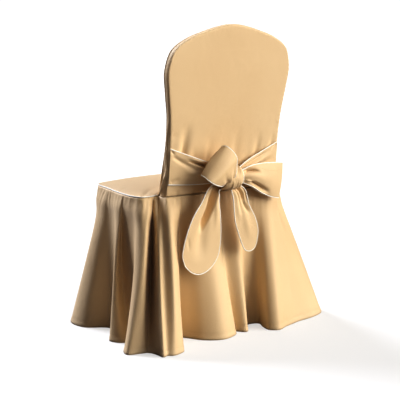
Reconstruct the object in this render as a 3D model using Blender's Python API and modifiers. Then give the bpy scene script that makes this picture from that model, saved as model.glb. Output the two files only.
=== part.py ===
"""Fitted chair cover with a crown back, a gathered skirt and a piped bow.

Metres, +Z up. The sitter faces -Y, so +X is the sitter's left and +Y is the rear.
Tables are measured from the middle of the rear waist seam, with Z from the floor, and
FOOTPRINT_MIDDLE moves them so that the origin lies under the middle of the skirt.
"""
import math

import bmesh
import bpy
import numpy as np

# Driving sizes
CLOTH = 0.002
PIPE_RADIUS = 0.0017
GAP = 0.0004
SEAM_Z = 0.442
RAKE = 0.121
SEAT_CROWN = 0.020
FOOTPRINT_MIDDLE = (-0.0395, -0.1635, 0.0)

# Colours, linear
TAN = (0.70, 0.48, 0.26)
CREAM = (0.90, 0.84, 0.70)

# Half outline of the back, from the waist seam to the top: half width, height
BACK_OUTLINE = (
    (0.2020, SEAM_Z),
    (0.2030, 0.530),
    (0.2010, 0.600),
    (0.2060, 0.680),
    (0.2160, 0.750),
    (0.2215, 0.809),
    (0.2030, 0.866),
    (0.1510, 0.901),
    (0.0980, 0.919),
    (0.0490, 0.932),
    (0.0000, 0.939),
)
SHOULDER_TURN = 6

# Depth of the back from front panel to rear panel: height, depth
BACK_DEPTH = (
    (SEAM_Z, 0.040),
    (0.550, 0.026),
    (0.680, 0.020),
    (0.800, 0.023),
    (0.940, 0.025),
)

# Soft upright troughs that the sash pulls into the rear panel: x, depth, half width, height
PUCKERS = (
    (0.159, 0.0035, 0.014, 0.612),
    (0.090, 0.0045, 0.018, 0.600),
    (0.010, 0.0030, 0.020, 0.630),
    (-0.052, 0.0025, 0.016, 0.610),
    (-0.115, 0.0040, 0.015, 0.606),
    (-0.176, 0.0035, 0.011, 0.596),
)
PUCKER_FADE = 0.048

# Seam between seat and skirt, from the middle of the front to the back on each side: x, y
SEAT_EDGE_LEFT = (
    (0.100, -0.351),
    (0.185, -0.345),
    (0.232, -0.330),
    (0.248, -0.300),
    (0.253, -0.262),
    (0.262, -0.210),
    (0.272, -0.155),
    (0.277, -0.105),
    (0.276, -0.058),
    (0.266, -0.034),
    (0.243, -0.030),
    (0.220, -0.034),
    (0.2045, -0.040),
)
SEAT_EDGE_RIGHT = (
    (-0.100, -0.351),
    (-0.185, -0.345),
    (-0.230, -0.330),
    (-0.246, -0.300),
    (-0.251, -0.262),
    (-0.258, -0.210),
    (-0.264, -0.160),
    (-0.266, -0.115),
    (-0.260, -0.075),
    (-0.245, -0.052),
    (-0.222, -0.043),
    (-0.2045, -0.040),
)
SEAT_FRONT_MIDDLE = (0.0, -0.352)
SEAT_FRONT_CORNER = 2
SEAT_REAR_CORNER_LEFT = 9
SEAT_REAR_CORNER_RIGHT = 8
BACK_HALF_WIDTH = 0.201

# Knees of the skirt's folds, a third of the way down, as shares of the way out to the hem
STANDS_OUT = 0.355
KEPT_IN = 0.240

# Folds of the skirt: distance along its top seam from the middle of the front, hem x and y, and
# the knee's share, or its own x and y where the fold bends
SKIRT_FOLDS = (
    ("front crest", 0.000, (-0.020, -0.440), STANDS_OUT),
    ("front valley, left", 0.075, (0.060, -0.392), KEPT_IN),
    ("front crest, left", 0.140, (0.140, -0.436), STANDS_OUT),
    ("front left valley", 0.212, (0.205, -0.392), KEPT_IN),
    ("front left corner", 0.275, (0.285, -0.410), KEPT_IN),
    ("front left crest", 0.318, (0.322, -0.357), STANDS_OUT),
    ("front left crest, behind", 0.336, (0.314, -0.299), STANDS_OUT),
    ("left side valley", 0.356, (0.254, -0.247), KEPT_IN),
    ("left side valley, behind", 0.384, (0.256, -0.180), KEPT_IN),
    ("left side crest", 0.425, (0.326, -0.118), (0.293, -0.134)),
    ("left side crest, behind", 0.448, (0.314, -0.090), (0.288, -0.126)),
    ("left rear valley", 0.468, (0.284, -0.070), (0.269, -0.144)),
    ("left rear valley, behind", 0.508, (0.272, -0.036), (0.268, -0.081)),
    ("seat corner crest", 0.538, (0.350, -0.004), (0.294, -0.017)),
    ("seat corner crest, behind", 0.550, (0.357, 0.026), (0.291, -0.002)),
    ("seat corner fold, rear", 0.563, (0.319, 0.038), (0.280, 0.008)),
    ("valley beside the back", 0.580, (0.298, 0.047), (0.215, -0.060)),
    ("back corner fold", 0.600, (0.287, 0.086), (0.250, 0.028)),
    ("back corner fold, rear", 0.612, (0.286, 0.106), (0.247, 0.034)),
    ("back corner tuck", 0.625, (0.271, 0.101), (0.235, 0.033)),
    ("back corner crest", 0.649, (0.252, 0.110), (0.224, 0.056)),
    ("back corner edge", 0.674, (0.213, 0.100), (0.198, 0.047)),
    ("deep rear valley", 0.700, (0.140, -0.040), KEPT_IN),
    ("deep rear valley, mouth", 0.716, (0.118, -0.008), KEPT_IN),
    ("broad rear fold, start", 0.745, (0.090, 0.038), STANDS_OUT),
    ("broad rear fold", 0.772, (0.040, 0.066), STANDS_OUT),
    ("broad rear fold, edge", 0.797, (-0.024, 0.042), STANDS_OUT),
    ("rear tuck", 0.838, (-0.037, 0.012), KEPT_IN),
    ("narrow rear fold", 0.880, (-0.066, 0.042), STANDS_OUT),
    ("right rear valley", 0.925, (-0.124, -0.022), KEPT_IN),
    ("right rear valley, far side", 0.955, (-0.157, -0.010), KEPT_IN),
    ("right rear fold, side", 0.980, (-0.142, 0.034), STANDS_OUT),
    ("right rear fold", 1.000, (-0.139, 0.068), STANDS_OUT),
    ("right rear crest", 1.012, (-0.158, 0.083), STANDS_OUT),
    ("right rear slope", 1.032, (-0.202, 0.068), STANDS_OUT),
    ("right corner slope", 1.050, (-0.279, 0.044), STANDS_OUT),
    ("right corner", 1.070, (-0.350, 0.031), STANDS_OUT),
    ("right corner crest", 1.095, (-0.402, 0.006), STANDS_OUT),
    ("right corner crest, side", 1.125, (-0.432, -0.045), STANDS_OUT),
    ("right side valley", 1.160, (-0.362, -0.088), KEPT_IN),
    ("right side crest", 1.215, (-0.386, -0.152), STANDS_OUT),
    ("right side valley, front", 1.275, (-0.300, -0.205), KEPT_IN),
    ("right front crest", 1.335, (-0.364, -0.262), STANDS_OUT),
    ("right front valley", 1.390, (-0.296, -0.306), KEPT_IN),
    ("right front corner", 1.450, (-0.336, -0.392), STANDS_OUT),
    ("front right valley", 1.520, (-0.240, -0.384), KEPT_IN),
    ("front crest, right", 1.580, (-0.170, -0.434), STANDS_OUT),
    ("front valley, right", 1.640, (-0.098, -0.388), KEPT_IN),
)

# Sash bands, from the back's side to the knot: top edge, bottom edge, rise of the middle
SASH_LEFT = (
    ((0.2005, 0.0201, 0.582), (0.2000, 0.0079, 0.481), 0.000),
    ((0.1420, 0.0250, 0.566), (0.1340, 0.0130, 0.476), 0.003),
    ((0.1090, 0.0340, 0.550), (0.1000, 0.0240, 0.476), 0.003),
    ((0.0800, 0.0400, 0.534), (0.0740, 0.0330, 0.476), 0.002),
    ((0.0400, 0.0400, 0.510), (0.0400, 0.0380, 0.478), 0.000),
)
SASH_RIGHT = (
    ((-0.1990, 0.0192, 0.578), (-0.2000, 0.0076, 0.480), 0.000),
    ((-0.1340, 0.0250, 0.563), (-0.1340, 0.0120, 0.478), 0.002),
    ((-0.0790, 0.0310, 0.544), (-0.0790, 0.0210, 0.477), 0.002),
    ((-0.0320, 0.0360, 0.512), (-0.0320, 0.0340, 0.480), 0.000),
)

# Bow loops, round their fold from the knot's far side to its near side:
# one edge, other edge, rise of the middle as x, y, z
LOOP_UP = (
    ((0.0280, 0.0440, 0.508), (0.0080, 0.0420, 0.524), (0.000, 0.000, 0.000)),
    ((0.0720, 0.0580, 0.509), (0.0230, 0.0540, 0.546), (0.000, 0.000, 0.000)),
    ((0.1130, 0.0680, 0.513), (0.0330, 0.0640, 0.575), (0.002, 0.000, 0.004)),
    ((0.1370, 0.0850, 0.515), (0.0570, 0.0750, 0.588), (0.008, 0.006, 0.012)),
    ((0.1270, 0.0950, 0.498), (0.0310, 0.0870, 0.577), (0.000, 0.012, 0.000)),
    ((0.1040, 0.0930, 0.478), (0.0140, 0.0880, 0.546), (0.000, 0.013, 0.000)),
    ((0.0740, 0.0870, 0.469), (0.0160, 0.0880, 0.511), (0.000, 0.007, 0.000)),
    ((0.0480, 0.0740, 0.464), (0.0180, 0.0820, 0.484), (0.000, 0.003, 0.000)),
    ((0.0330, 0.0600, 0.468), (0.0140, 0.0680, 0.470), (0.000, 0.000, 0.000)),
)
LOOP_RIGHT = (
    ((-0.0300, 0.0460, 0.503), (-0.0300, 0.0460, 0.478), (0.000, 0.000, 0.000)),
    ((-0.0700, 0.0400, 0.511), (-0.0700, 0.0400, 0.461), (0.000, -0.002, 0.000)),
    ((-0.1150, 0.0330, 0.514), (-0.1100, 0.0330, 0.437), (0.000, -0.003, 0.000)),
    ((-0.1640, 0.0270, 0.515), (-0.1550, 0.0270, 0.418), (0.000, -0.002, 0.000)),
    ((-0.2080, 0.0340, 0.514), (-0.1950, 0.0330, 0.408), (-0.004, 0.000, 0.000)),
    ((-0.1590, 0.0460, 0.519), (-0.1560, 0.0450, 0.417), (0.000, 0.008, 0.000)),
    ((-0.1150, 0.0510, 0.521), (-0.1160, 0.0500, 0.433), (0.000, 0.009, 0.000)),
    ((-0.0680, 0.0560, 0.518), (-0.0750, 0.0550, 0.457), (0.000, 0.006, 0.000)),
    ((-0.0300, 0.0570, 0.506), (-0.0300, 0.0570, 0.474), (0.000, 0.000, 0.000)),
)

# Tails: outline down the left edge, round the tip and up the right edge: x, z
TAIL_LEFT_SIDE = (
    (0.036, 0.478),
    (0.078, 0.470),
    (0.117, 0.435),
    (0.149, 0.391),
    (0.169, 0.351),
    (0.184, 0.308),
    (0.187, 0.272),
    (0.177, 0.244),
)
TAIL_LEFT_TIP = (
    (0.177, 0.244),
    (0.155, 0.224),
    (0.129, 0.215),
    (0.103, 0.220),
    (0.081, 0.234),
)
TAIL_LEFT_INNER = (
    (0.020, 0.455),
    (0.046, 0.450),
    (0.053, 0.425),
    (0.052, 0.393),
    (0.051, 0.338),
    (0.054, 0.292),
    (0.064, 0.256),
    (0.081, 0.234),
)
TAIL_RIGHT_INNER = (
    (0.002, 0.4525),
    (-0.004, 0.430),
    (-0.004, 0.402),
    (-0.007, 0.355),
    (-0.021, 0.313),
    (-0.034, 0.281),
)
TAIL_RIGHT_TIP = (
    (-0.034, 0.281),
    (-0.044, 0.267),
    (-0.059, 0.262),
    (-0.075, 0.267),
    (-0.084, 0.280),
)
TAIL_RIGHT_SIDE = (
    (-0.020, 0.461),
    (-0.048, 0.452),
    (-0.066, 0.417),
    (-0.078, 0.388),
    (-0.089, 0.352),
    (-0.092, 0.317),
    (-0.084, 0.280),
)
# How far the tails hang behind the rear seam: height, y
TAIL_HANG = ((0.215, 0.062), (0.350, 0.062), (0.400, 0.058), (0.480, 0.046))

# Knot
KNOT_MIDDLE = np.array((0.004, 0.046, 0.489))
KNOT_RADII = np.array((0.034, 0.029, 0.035))
KNOT_PIPE_X = -0.020
KNOT_PIPE_TOP = math.radians(105.0)
KNOT_PIPE_BOTTOM = math.radians(-62.0)

# Grid sizes
SKIRT_COLUMNS = 116
SKIRT_ROWS = 11
TRACE = 240


def spline(points):
    """Return a function of 0..1 that runs smoothly through points, paced by their chords."""
    points = np.array(points, float)
    steps = np.linalg.norm(np.diff(points, axis=0), axis=1)
    at = np.concatenate(([0.0], np.cumsum(steps))) / steps.sum()
    tangents = np.gradient(points, at, axis=0)

    def evaluate(t):
        t = np.clip(np.asarray(t, float), 0.0, 1.0)
        k = np.clip(np.searchsorted(at, t, side="right") - 1, 0, len(at) - 2)
        span = (at[k + 1] - at[k])[..., None]
        s = (t[..., None] - at[k][..., None]) / span
        start = points[k] * (2 * s**3 - 3 * s**2 + 1) + points[k + 1] * (3 * s**2 - 2 * s**3)
        slopes = tangents[k] * (s**3 - 2 * s**2 + s) + tangents[k + 1] * (s**3 - s**2)
        return start + slopes * span

    evaluate.at = at
    return evaluate


def polyline(points):
    """Return a function of 0..1 along straight runs, and the length of the runs."""
    points = np.array(points, float)
    steps = np.linalg.norm(np.diff(points, axis=0), axis=1)
    walked = np.concatenate(([0.0], np.cumsum(steps)))
    length = walked[-1]

    def evaluate(t):
        distance = np.asarray(t, float) * length
        return np.stack([np.interp(distance, walked, column) for column in points.T], axis=-1)

    return evaluate, length


def stretch(curve, start, end):
    """Return the part of curve between two of its parameters as a function of 0..1."""
    return lambda t: curve(start + (end - start) * np.asarray(t, float))


def patch(low, high, left, right):
    """Fill four edge curves: low and high run with u, left and right run with v."""
    def evaluate(u, v):
        a = u[..., None]
        b = v[..., None]
        across = (1 - b) * low(u) + b * high(u)
        along = (1 - a) * left(v) + a * right(v)
        corners = ((1 - a) * (1 - b) * low(0.0) + a * (1 - b) * low(1.0)
                   + (1 - a) * b * high(0.0) + a * b * high(1.0))
        return across + along - corners
    return evaluate


def band(sections):
    """Return a surface through sections, each one edge, other edge and rise of its middle."""
    rows = []
    for one, other, rise in sections:
        rise = (0.0, rise, 0.0) if np.isscalar(rise) else rise
        rows.append(np.concatenate((one, other, rise)))
    along = spline(rows)

    def evaluate(u, v):
        row = along(v)
        a = u[..., None]
        return row[..., 0:3] * (1 - a) + row[..., 3:6] * a + row[..., 6:9] * 4 * a * (1 - a)
    return evaluate


def on_knot(point, clearance=CLOTH / 2 - GAP / 4):
    """Move a point onto the knot's surface, a clearance outside it."""
    way = (np.array(point, float) - KNOT_MIDDLE) / KNOT_RADII
    way /= np.linalg.norm(way)
    return KNOT_MIDDLE + way * (KNOT_RADII + clearance)


def rooted(sections, ends):
    """Return band sections with the named end rows bent round the knot's surface."""
    sections = list(sections)
    for index in ends:
        one, other, _ = sections[index]
        one = on_knot(one)
        other = on_knot(other)
        middle = (one + other) / 2
        sections[index] = (one, other, on_knot(middle) - middle)
    return sections


def material(name, colour, roughness):
    """Make a plain cloth material."""
    finish = bpy.data.materials.new(name)
    finish.use_nodes = True
    shader = finish.node_tree.nodes["Principled BSDF"]
    shader.inputs["Base Color"].default_value = (*colour, 1.0)
    shader.inputs["Roughness"].default_value = roughness
    shader.inputs["Metallic"].default_value = 0.0
    return finish


def link(obj, colour, roughness):
    """Give an object its material and put it in the cover's collection."""
    obj.data.materials.append(material(obj.name, colour, roughness))
    bpy.data.collections["chair_cover"].objects.link(obj)
    return obj


def placed(points):
    """Move points from the rear seam's middle to the footprint's middle."""
    return np.asarray(points, float) - np.array(FOOTPRINT_MIDDLE)


def cloth(name, shape, columns, rows, closed=False):
    """Make a sheet from a surface of u and v, and give it the cloth's thickness."""
    bm = bmesh.new()
    bmesh.ops.create_grid(bm, x_segments=columns, y_segments=rows, size=0.5)
    flat = np.array([vert.co[:2] for vert in bm.verts]) + 0.5
    for vert, co in zip(bm.verts, placed(shape(flat[:, 0], flat[:, 1]))):
        vert.co = co
    if closed:
        bmesh.ops.remove_doubles(bm, verts=bm.verts, dist=0.00001)
    mesh = bpy.data.meshes.new(name)
    bm.to_mesh(mesh)
    bm.free()
    mesh.shade_smooth()
    sheet = bpy.data.objects.new(name, mesh)
    solidify = sheet.modifiers.new("thickness", "SOLIDIFY")
    solidify.thickness = CLOTH
    solidify.offset = 0.0
    return link(sheet, TAN, 0.75)


def piping(name, points, resolution=1):
    """Make a covered cord along points."""
    path = placed(points)
    curve = bpy.data.curves.new(name, "CURVE")
    curve.dimensions = "3D"
    curve.bevel_depth = PIPE_RADIUS
    curve.bevel_resolution = resolution
    curve.use_fill_caps = True
    line = curve.splines.new("POLY")
    line.points.add(len(path) - 1)
    for point, co in zip(line.points, path):
        point.co = (*co, 1.0)
    return link(bpy.data.objects.new(name, curve), CREAM, 0.6)


def beside_edge(shape, u, v):
    """Return points just outside a sheet's edge, for the piping sewn to it."""
    middle = 0.5
    inner = 0.04
    edge = shape(u, v)
    way = edge - shape(u + (middle - u) * inner, v)
    across = (v == 1.0)
    way[across] = (edge - shape(u, v - inner))[across]
    run = np.gradient(edge, axis=0)
    run /= np.linalg.norm(run, axis=1)[:, None]
    way -= run * np.sum(way * run, axis=1)[:, None]
    way /= np.linalg.norm(way, axis=1)[:, None]
    return edge + way * (PIPE_RADIUS + 2 * GAP)


def rows_of(count, start, end):
    """Return a sheet's row parameters with the ends drawn in, so that piping bends with it."""
    rows = np.linspace(0.0, 1.0, count + 1)
    rows[0] = start
    rows[-1] = end
    return rows


def back_outline():
    """Return the back's outline from left seam over the top to right seam, as x and z."""
    left = [(width, height) for width, height in BACK_OUTLINE]
    right = [(-width, height) for width, height in reversed(BACK_OUTLINE[:-1])]
    return spline(left + right)


def lean(height):
    """Return how far the back leans to the rear at a height."""
    return RAKE * (height - SEAM_Z)


def depth(height):
    """Return the back's depth at a height."""
    table = np.array(BACK_DEPTH)
    return np.interp(height, table[:, 0], table[:, 1])


def pucker(x, z):
    """Return how deep the sash's pull draws the rear panel in."""
    total = np.zeros_like(x)
    for middle, deep, half, top in PUCKERS:
        across = np.exp(-((x - middle) / half) ** 2)
        total += deep * across * np.exp(-((z - top) / PUCKER_FADE) ** 2)
    return total


def back_face(name, columns, rows, rear):
    """Make the rear or the front panel of the back."""
    outline = back_outline()
    turn = outline.at[SHOULDER_TURN]
    seam = polyline((outline(0.0), outline(1.0)))[0]
    arch = stretch(outline, turn, 1 - turn)
    flat = patch(seam, arch, stretch(outline, 0.0, turn), stretch(outline, 1.0, 1 - turn))

    def shape(u, v):
        x, z = flat(u, v).T
        y = lean(z) - (pucker(x, z) if rear else depth(z))
        return np.stack((x, y, z + GAP * (1 - v)), axis=-1)

    return cloth(name, shape, columns, rows)


def back_gusset():
    """Make the strip that joins the two panels over the back's edge."""
    outline = back_outline()
    margin = CLOTH / 2 + 2 * GAP
    step = 0.002

    def shape(u, v):
        edge = outline(u)
        run = outline(np.minimum(u + step, 1.0)) - outline(np.maximum(u - step, 0.0))
        run /= np.linalg.norm(run, axis=1)[:, None]
        wrinkle = 0.0006 * (1 + np.sin(u * 61.0) * np.sin(u * 23.0 + 1.0)) * np.sin(math.pi * v)
        inset = (CLOTH / 2 + wrinkle)[:, None]
        x, z = (edge + np.stack((run[:, 1], -run[:, 0]), axis=-1) * -inset).T
        z = np.maximum(z, SEAM_Z + GAP)
        deep = depth(z)
        y = lean(z) - deep + margin + v * (deep - 2 * margin)
        return np.stack((x, y, z), axis=-1)

    return cloth("back_gusset", shape, 46, 2)


def seat_edge():
    """Return the seat's seam from the right of the back round the front to its left."""
    return spline(SEAT_EDGE_RIGHT[::-1] + (SEAT_FRONT_MIDDLE,) + SEAT_EDGE_LEFT)


def seat_panel():
    """Make the crowned seat panel inside its piping."""
    edge = seat_edge()
    last = len(edge.at) - 1
    inset = PIPE_RADIUS + 5 * GAP
    t = np.linspace(0.0, 1.0, TRACE)
    line = edge(t)
    run = np.gradient(line, axis=0)
    run /= np.linalg.norm(run, axis=1)[:, None]
    line = line + np.stack((-run[:, 1], run[:, 0]), axis=-1) * inset

    def between(start, end):
        return line[(t >= start) & (t <= end)]

    right_corner = edge.at[len(SEAT_EDGE_RIGHT) - 1 - SEAT_REAR_CORNER_RIGHT]
    front_right = edge.at[len(SEAT_EDGE_RIGHT) - 1 - SEAT_FRONT_CORNER]
    front_left = edge.at[last - (len(SEAT_EDGE_LEFT) - 1 - SEAT_FRONT_CORNER)]
    left_corner = edge.at[last - (len(SEAT_EDGE_LEFT) - 1 - SEAT_REAR_CORNER_LEFT)]
    rear = np.vstack((between(left_corner, 1.0), between(0.0, right_corner)))
    side_left = between(front_left, left_corner)[::-1]
    side_right = between(right_corner, front_right)
    front = between(front_right, front_left)[::-1]
    side_left = np.vstack((rear[:1], side_left, front[:1]))
    side_right = np.vstack((rear[-1:], side_right, front[-1:]))
    flat = patch(polyline(rear)[0], polyline(front)[0], polyline(side_left)[0], polyline(side_right)[0])

    def shape(u, v):
        x, y = flat(u, v).T
        dome = (1 - np.abs(2 * u - 1) ** 2.6) * (1 - np.abs(2 * v - 1) ** 2.6)
        z = SEAM_Z + GAP + PIPE_RADIUS + SEAT_CROWN * dome ** 0.8
        return np.stack((x, y, z), axis=-1)

    return cloth("seat_panel", shape, 20, 11)


def seat_piping():
    """Make the cord between seat and skirt."""
    plan = seat_edge()(np.linspace(0.0, 1.0, 64))
    height = np.full((len(plan), 1), SEAM_Z + GAP + PIPE_RADIUS)
    return piping("piping_seat", np.hstack((plan, height)))


def skirt_top():
    """Return the skirt's top seam from the middle of the front round the left side."""
    left = spline((SEAT_FRONT_MIDDLE,) + SEAT_EDGE_LEFT)(np.linspace(0.0, 1.0, TRACE))
    right = spline((SEAT_FRONT_MIDDLE,) + SEAT_EDGE_RIGHT)(np.linspace(0.0, 1.0, TRACE))
    back = np.array(((BACK_HALF_WIDTH, 0.0), (-BACK_HALF_WIDTH, 0.0)))
    return polyline(np.vstack((left, back, right[::-1])))


def fold_rows(top, girth):
    """Return each fold's distance along the seam, its knee and its hem."""
    rows = []
    for _, along, hem, bend in SKIRT_FOLDS:
        seam = top(np.array(along / girth))
        knee = bend if isinstance(bend, tuple) else seam + (np.array(hem) - seam) * bend
        rows.append((along, *knee, *hem))
    return np.array(rows)


def skirt():
    """Make the gathered skirt: each fold runs from the seam by way of its knee to the hem."""
    top, girth = skirt_top()
    rows = fold_rows(top, girth)
    lap = np.array((girth, 0.0, 0.0, 0.0, 0.0))
    folds = spline(np.vstack((rows[-2:] - lap, rows, rows[:2] + lap)))
    start = folds.at[2]
    end = folds.at[-2]

    def shape(u, v):
        fold = folds(start + (end - start) * u)
        seam = top(np.mod(fold[:, 0], girth) / girth)
        down = (1 - v)[:, None]
        plan = (seam * (1 - 3 * down) * (1 - down) + fold[:, 1:3] * 4.5 * down * (1 - down)
                + fold[:, 3:5] * down * (3 * down - 1) / 2)
        z = (SEAM_Z - GAP) * v + 0.0006 * (1 - v)
        return np.stack((plan[:, 0], plan[:, 1], z), axis=-1)

    return cloth("skirt", shape, SKIRT_COLUMNS, SKIRT_ROWS, closed=True)


def knot():
    """Make the wrapped middle of the bow."""
    bm = bmesh.new()
    bmesh.ops.create_uvsphere(bm, u_segments=20, v_segments=12, radius=1.0)
    for vert in bm.verts:
        groove = 1 - 0.05 * math.exp(-((vert.co.x - 0.25) / 0.18) ** 2) * max(vert.co.y, 0.0)
        vert.co = placed(KNOT_MIDDLE + np.array(vert.co) * KNOT_RADII * groove)
    mesh = bpy.data.meshes.new("knot")
    bm.to_mesh(mesh)
    bm.free()
    mesh.shade_smooth()
    return link(bpy.data.objects.new("knot", mesh), TAN, 0.75)


def knot_piping():
    """Make the piping on the edge of the knot's wrap."""
    turn = np.linspace(KNOT_PIPE_TOP, KNOT_PIPE_BOTTOM, 16)
    waist = math.sqrt(1 - (KNOT_PIPE_X / KNOT_RADII[0]) ** 2)
    out = KNOT_RADII[1:] * waist + PIPE_RADIUS * 1.45 + GAP
    x = np.full(len(turn), KNOT_MIDDLE[0] + KNOT_PIPE_X)
    y = KNOT_MIDDLE[1] + np.cos(turn) * out[0]
    z = KNOT_MIDDLE[2] + np.sin(turn) * out[1]
    return piping("piping_knot", np.stack((x, y, z), axis=-1))


def sash(name, sections):
    """Make a sash band from the back's side to the knot, with its piping."""
    rows = 10
    shape = band(rooted(sections, (-1,)))
    cloth(name, shape, 6, rows)
    v = rows_of(rows, 0.006, 0.95)
    piping(name + "_piping_top", beside_edge(shape, np.zeros_like(v), v))
    if name == "sash_left":
        piping(name + "_piping_bottom", beside_edge(shape, np.ones_like(v), v))


def loop(name, sections):
    """Make a bow loop with piping on both edges."""
    rows = 18
    shape = band(rooted(sections, (0, -1)))
    cloth(name, shape, 6, rows)
    v = rows_of(rows, 0.03, 0.97)
    piping(name + "_piping_a", beside_edge(shape, np.zeros_like(v), v))
    piping(name + "_piping_b", beside_edge(shape, np.ones_like(v), v))


def hang(outline):
    """Return an x, z outline as points that hang behind the rear seam."""
    table = np.array(TAIL_HANG)
    return [(x, float(np.interp(z, table[:, 0], table[:, 1])), z) for x, z in outline]


def tail(name, left, tip, right, trough):
    """Make a hanging tail with a soft trough down its middle and piping round it."""
    columns = 8
    rows = 10
    left = hang(left)
    right = hang(right)
    left[0] = tuple(on_knot(left[0]))
    right[0] = tuple(on_knot(right[0]))
    root = (np.array(left[0]) + np.array(right[0])) / 2
    flat = patch(spline((left[0], on_knot(root), right[0])), spline(hang(tip)), spline(left), spline(right))

    def shape(u, v):
        points = flat(u, v)
        points[:, 1] -= trough * np.exp(-((u - 0.52) / 0.2) ** 2) * np.sin(math.pi * v ** 0.7)
        return points

    cloth(name, shape, columns, rows)
    down = rows_of(rows, 0.04, 1.0)
    across = np.linspace(0.0, 1.0, columns + 1)[1:-1]
    u = np.concatenate((np.zeros_like(down), across, np.ones_like(down)))
    v = np.concatenate((down, np.ones_like(across), down[::-1]))
    piping(name + "_piping", beside_edge(shape, u, v))


def build():
    """Clear the scene and make the cover."""
    for obj in list(bpy.data.objects):
        bpy.data.objects.remove(obj, do_unlink=True)
    bpy.context.scene.collection.children.link(bpy.data.collections.new("chair_cover"))
    back_face("back_panel", 24, 14, rear=True)
    back_face("front_panel", 12, 9, rear=False)
    back_gusset()
    seat_panel()
    seat_piping()
    skirt()
    knot()
    knot_piping()
    sash("sash_left", SASH_LEFT)
    sash("sash_right", SASH_RIGHT)
    loop("loop_up", LOOP_UP)
    loop("loop_right", LOOP_RIGHT)
    tail("tail_left", TAIL_LEFT_SIDE, TAIL_LEFT_TIP, TAIL_LEFT_INNER, 0.012)
    tail("tail_right", TAIL_RIGHT_INNER, TAIL_RIGHT_TIP, TAIL_RIGHT_SIDE, 0.007)


build()
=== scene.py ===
"""Looks of a fitted chair cover: crown back, gathered skirt and a piped sash tied in a bow.

Metres, +Z up. The sitter faces -Y, so +X is the sitter's left and +Y is the rear. The tables
are measured from the middle of the rear waist seam, with Z from the floor, as in the part's
source. REAR_SEAM moves them onto the frame.
"""
import logging
import math
from collections.abc import Callable, Mapping, Sequence
from dataclasses import dataclass, replace
from enum import Enum

import bpy
import numpy as np
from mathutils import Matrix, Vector


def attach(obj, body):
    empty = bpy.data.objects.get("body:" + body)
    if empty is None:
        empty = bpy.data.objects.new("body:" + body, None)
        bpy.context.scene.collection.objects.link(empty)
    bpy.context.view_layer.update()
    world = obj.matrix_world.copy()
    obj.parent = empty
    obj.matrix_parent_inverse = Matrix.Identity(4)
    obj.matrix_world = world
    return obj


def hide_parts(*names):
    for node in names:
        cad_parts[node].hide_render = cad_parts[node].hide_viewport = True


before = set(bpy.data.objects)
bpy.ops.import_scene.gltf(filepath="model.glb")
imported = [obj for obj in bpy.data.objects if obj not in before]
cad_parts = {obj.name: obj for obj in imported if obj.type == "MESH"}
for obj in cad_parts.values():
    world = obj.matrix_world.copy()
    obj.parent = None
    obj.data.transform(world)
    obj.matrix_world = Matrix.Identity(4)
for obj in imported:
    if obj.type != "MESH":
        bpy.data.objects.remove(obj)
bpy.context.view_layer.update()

log = logging.getLogger("chair_cover")

Field = np.ndarray
Place = tuple[float, float, float]
Spot = tuple[float, float]
Curve = Callable[[Field], Field]
Surface = Callable[[Field, Field], Field]
Section = tuple[Place, Place, Place]
Sockets = Mapping[str, bpy.types.NodeSocket]
Inputs = Mapping[str | int, object]
SocketRows = Sequence[tuple[object, ...]]

BODY = "root"
REAR_SEAM = np.array((0.0395, 0.1635, 0.0))

# Driving sizes, as in the part's source
CLOTH = 0.002
PIPE_RADIUS = 0.0017
GAP = 0.0004
SEAM_Z = 0.442
RAKE = 0.121
THREAD_RADIUS = 0.00038
# A fold's knee, as a share of its way out to the hem: on a crest and in a valley
STANDS_OUT = 0.355
KEPT_IN = 0.240

# Piping and thread as sewn here
CORD_SIDES = 10
CORD_STANDS_OFF = PIPE_RADIUS * 0.85
STITCH_LIFT = 0.0010
CLOTH_UV = "cloth"


class Slot(Enum):
    """The record's material slots."""

    TAN = "tan_cloth"
    CREAM = "cream_piping"


class Held(Enum):
    """How a sheet of cloth is held."""

    STRETCHED = "stretched"
    GATHERED = "gathered"
    FOLDED = "folded"
    HUNG = "hung"


class Profile(Enum):
    """How a crease is shaped across its line."""

    SOFT = "soft"
    CREST = "crest"
    LAP = "lap"
    TROUGH = "trough"


class Side(Enum):
    """The four edges of a sheet, by its own directions."""

    FIRST = "u = 0"
    LAST = "u = 1"
    LOW = "v = 0"
    HIGH = "v = 1"


def spline(points: Sequence[Sequence[float]]) -> Curve:
    """Run a smooth curve through points, paced by the chords between them.

    Args:
        points: Rows of numbers, of any width.

    Returns:
        A function of 0..1, with the points' own parameters in its attribute `at`.
    """
    rows = np.array(points, float)
    steps = np.linalg.norm(np.diff(rows, axis=0), axis=1)
    at = np.concatenate(([0.0], np.cumsum(steps))) / steps.sum()
    tangents = np.gradient(rows, at, axis=0)

    def evaluate(t: Field) -> Field:
        """Return the curve's points at t."""
        t = np.clip(np.asarray(t, float), 0.0, 1.0)
        k = np.clip(np.searchsorted(at, t, side="right") - 1, 0, len(at) - 2)
        span = (at[k + 1] - at[k])[..., None]
        s = (t[..., None] - at[k][..., None]) / span
        ends = rows[k] * (2 * s**3 - 3 * s**2 + 1) + rows[k + 1] * (3 * s**2 - 2 * s**3)
        slopes = tangents[k] * (s**3 - 2 * s**2 + s) + tangents[k + 1] * (s**3 - s**2)
        return ends + slopes * span

    evaluate.at = at
    return evaluate


def polyline(points: Sequence[Sequence[float]]) -> tuple[Curve, float]:
    """Run straight stretches through points.

    Args:
        points: Rows of numbers, of any width.

    Returns:
        A function of 0..1 paced by length, and the whole length.
    """
    rows = np.array(points, float)
    steps = np.linalg.norm(np.diff(rows, axis=0), axis=1)
    walked = np.concatenate(([0.0], np.cumsum(steps)))
    length = float(walked[-1])

    def evaluate(t: Field) -> Field:
        """Return the line's points at t."""
        distance = np.asarray(t, float) * length
        return np.stack([np.interp(distance, walked, column) for column in rows.T], axis=-1)

    return evaluate, length


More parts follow.
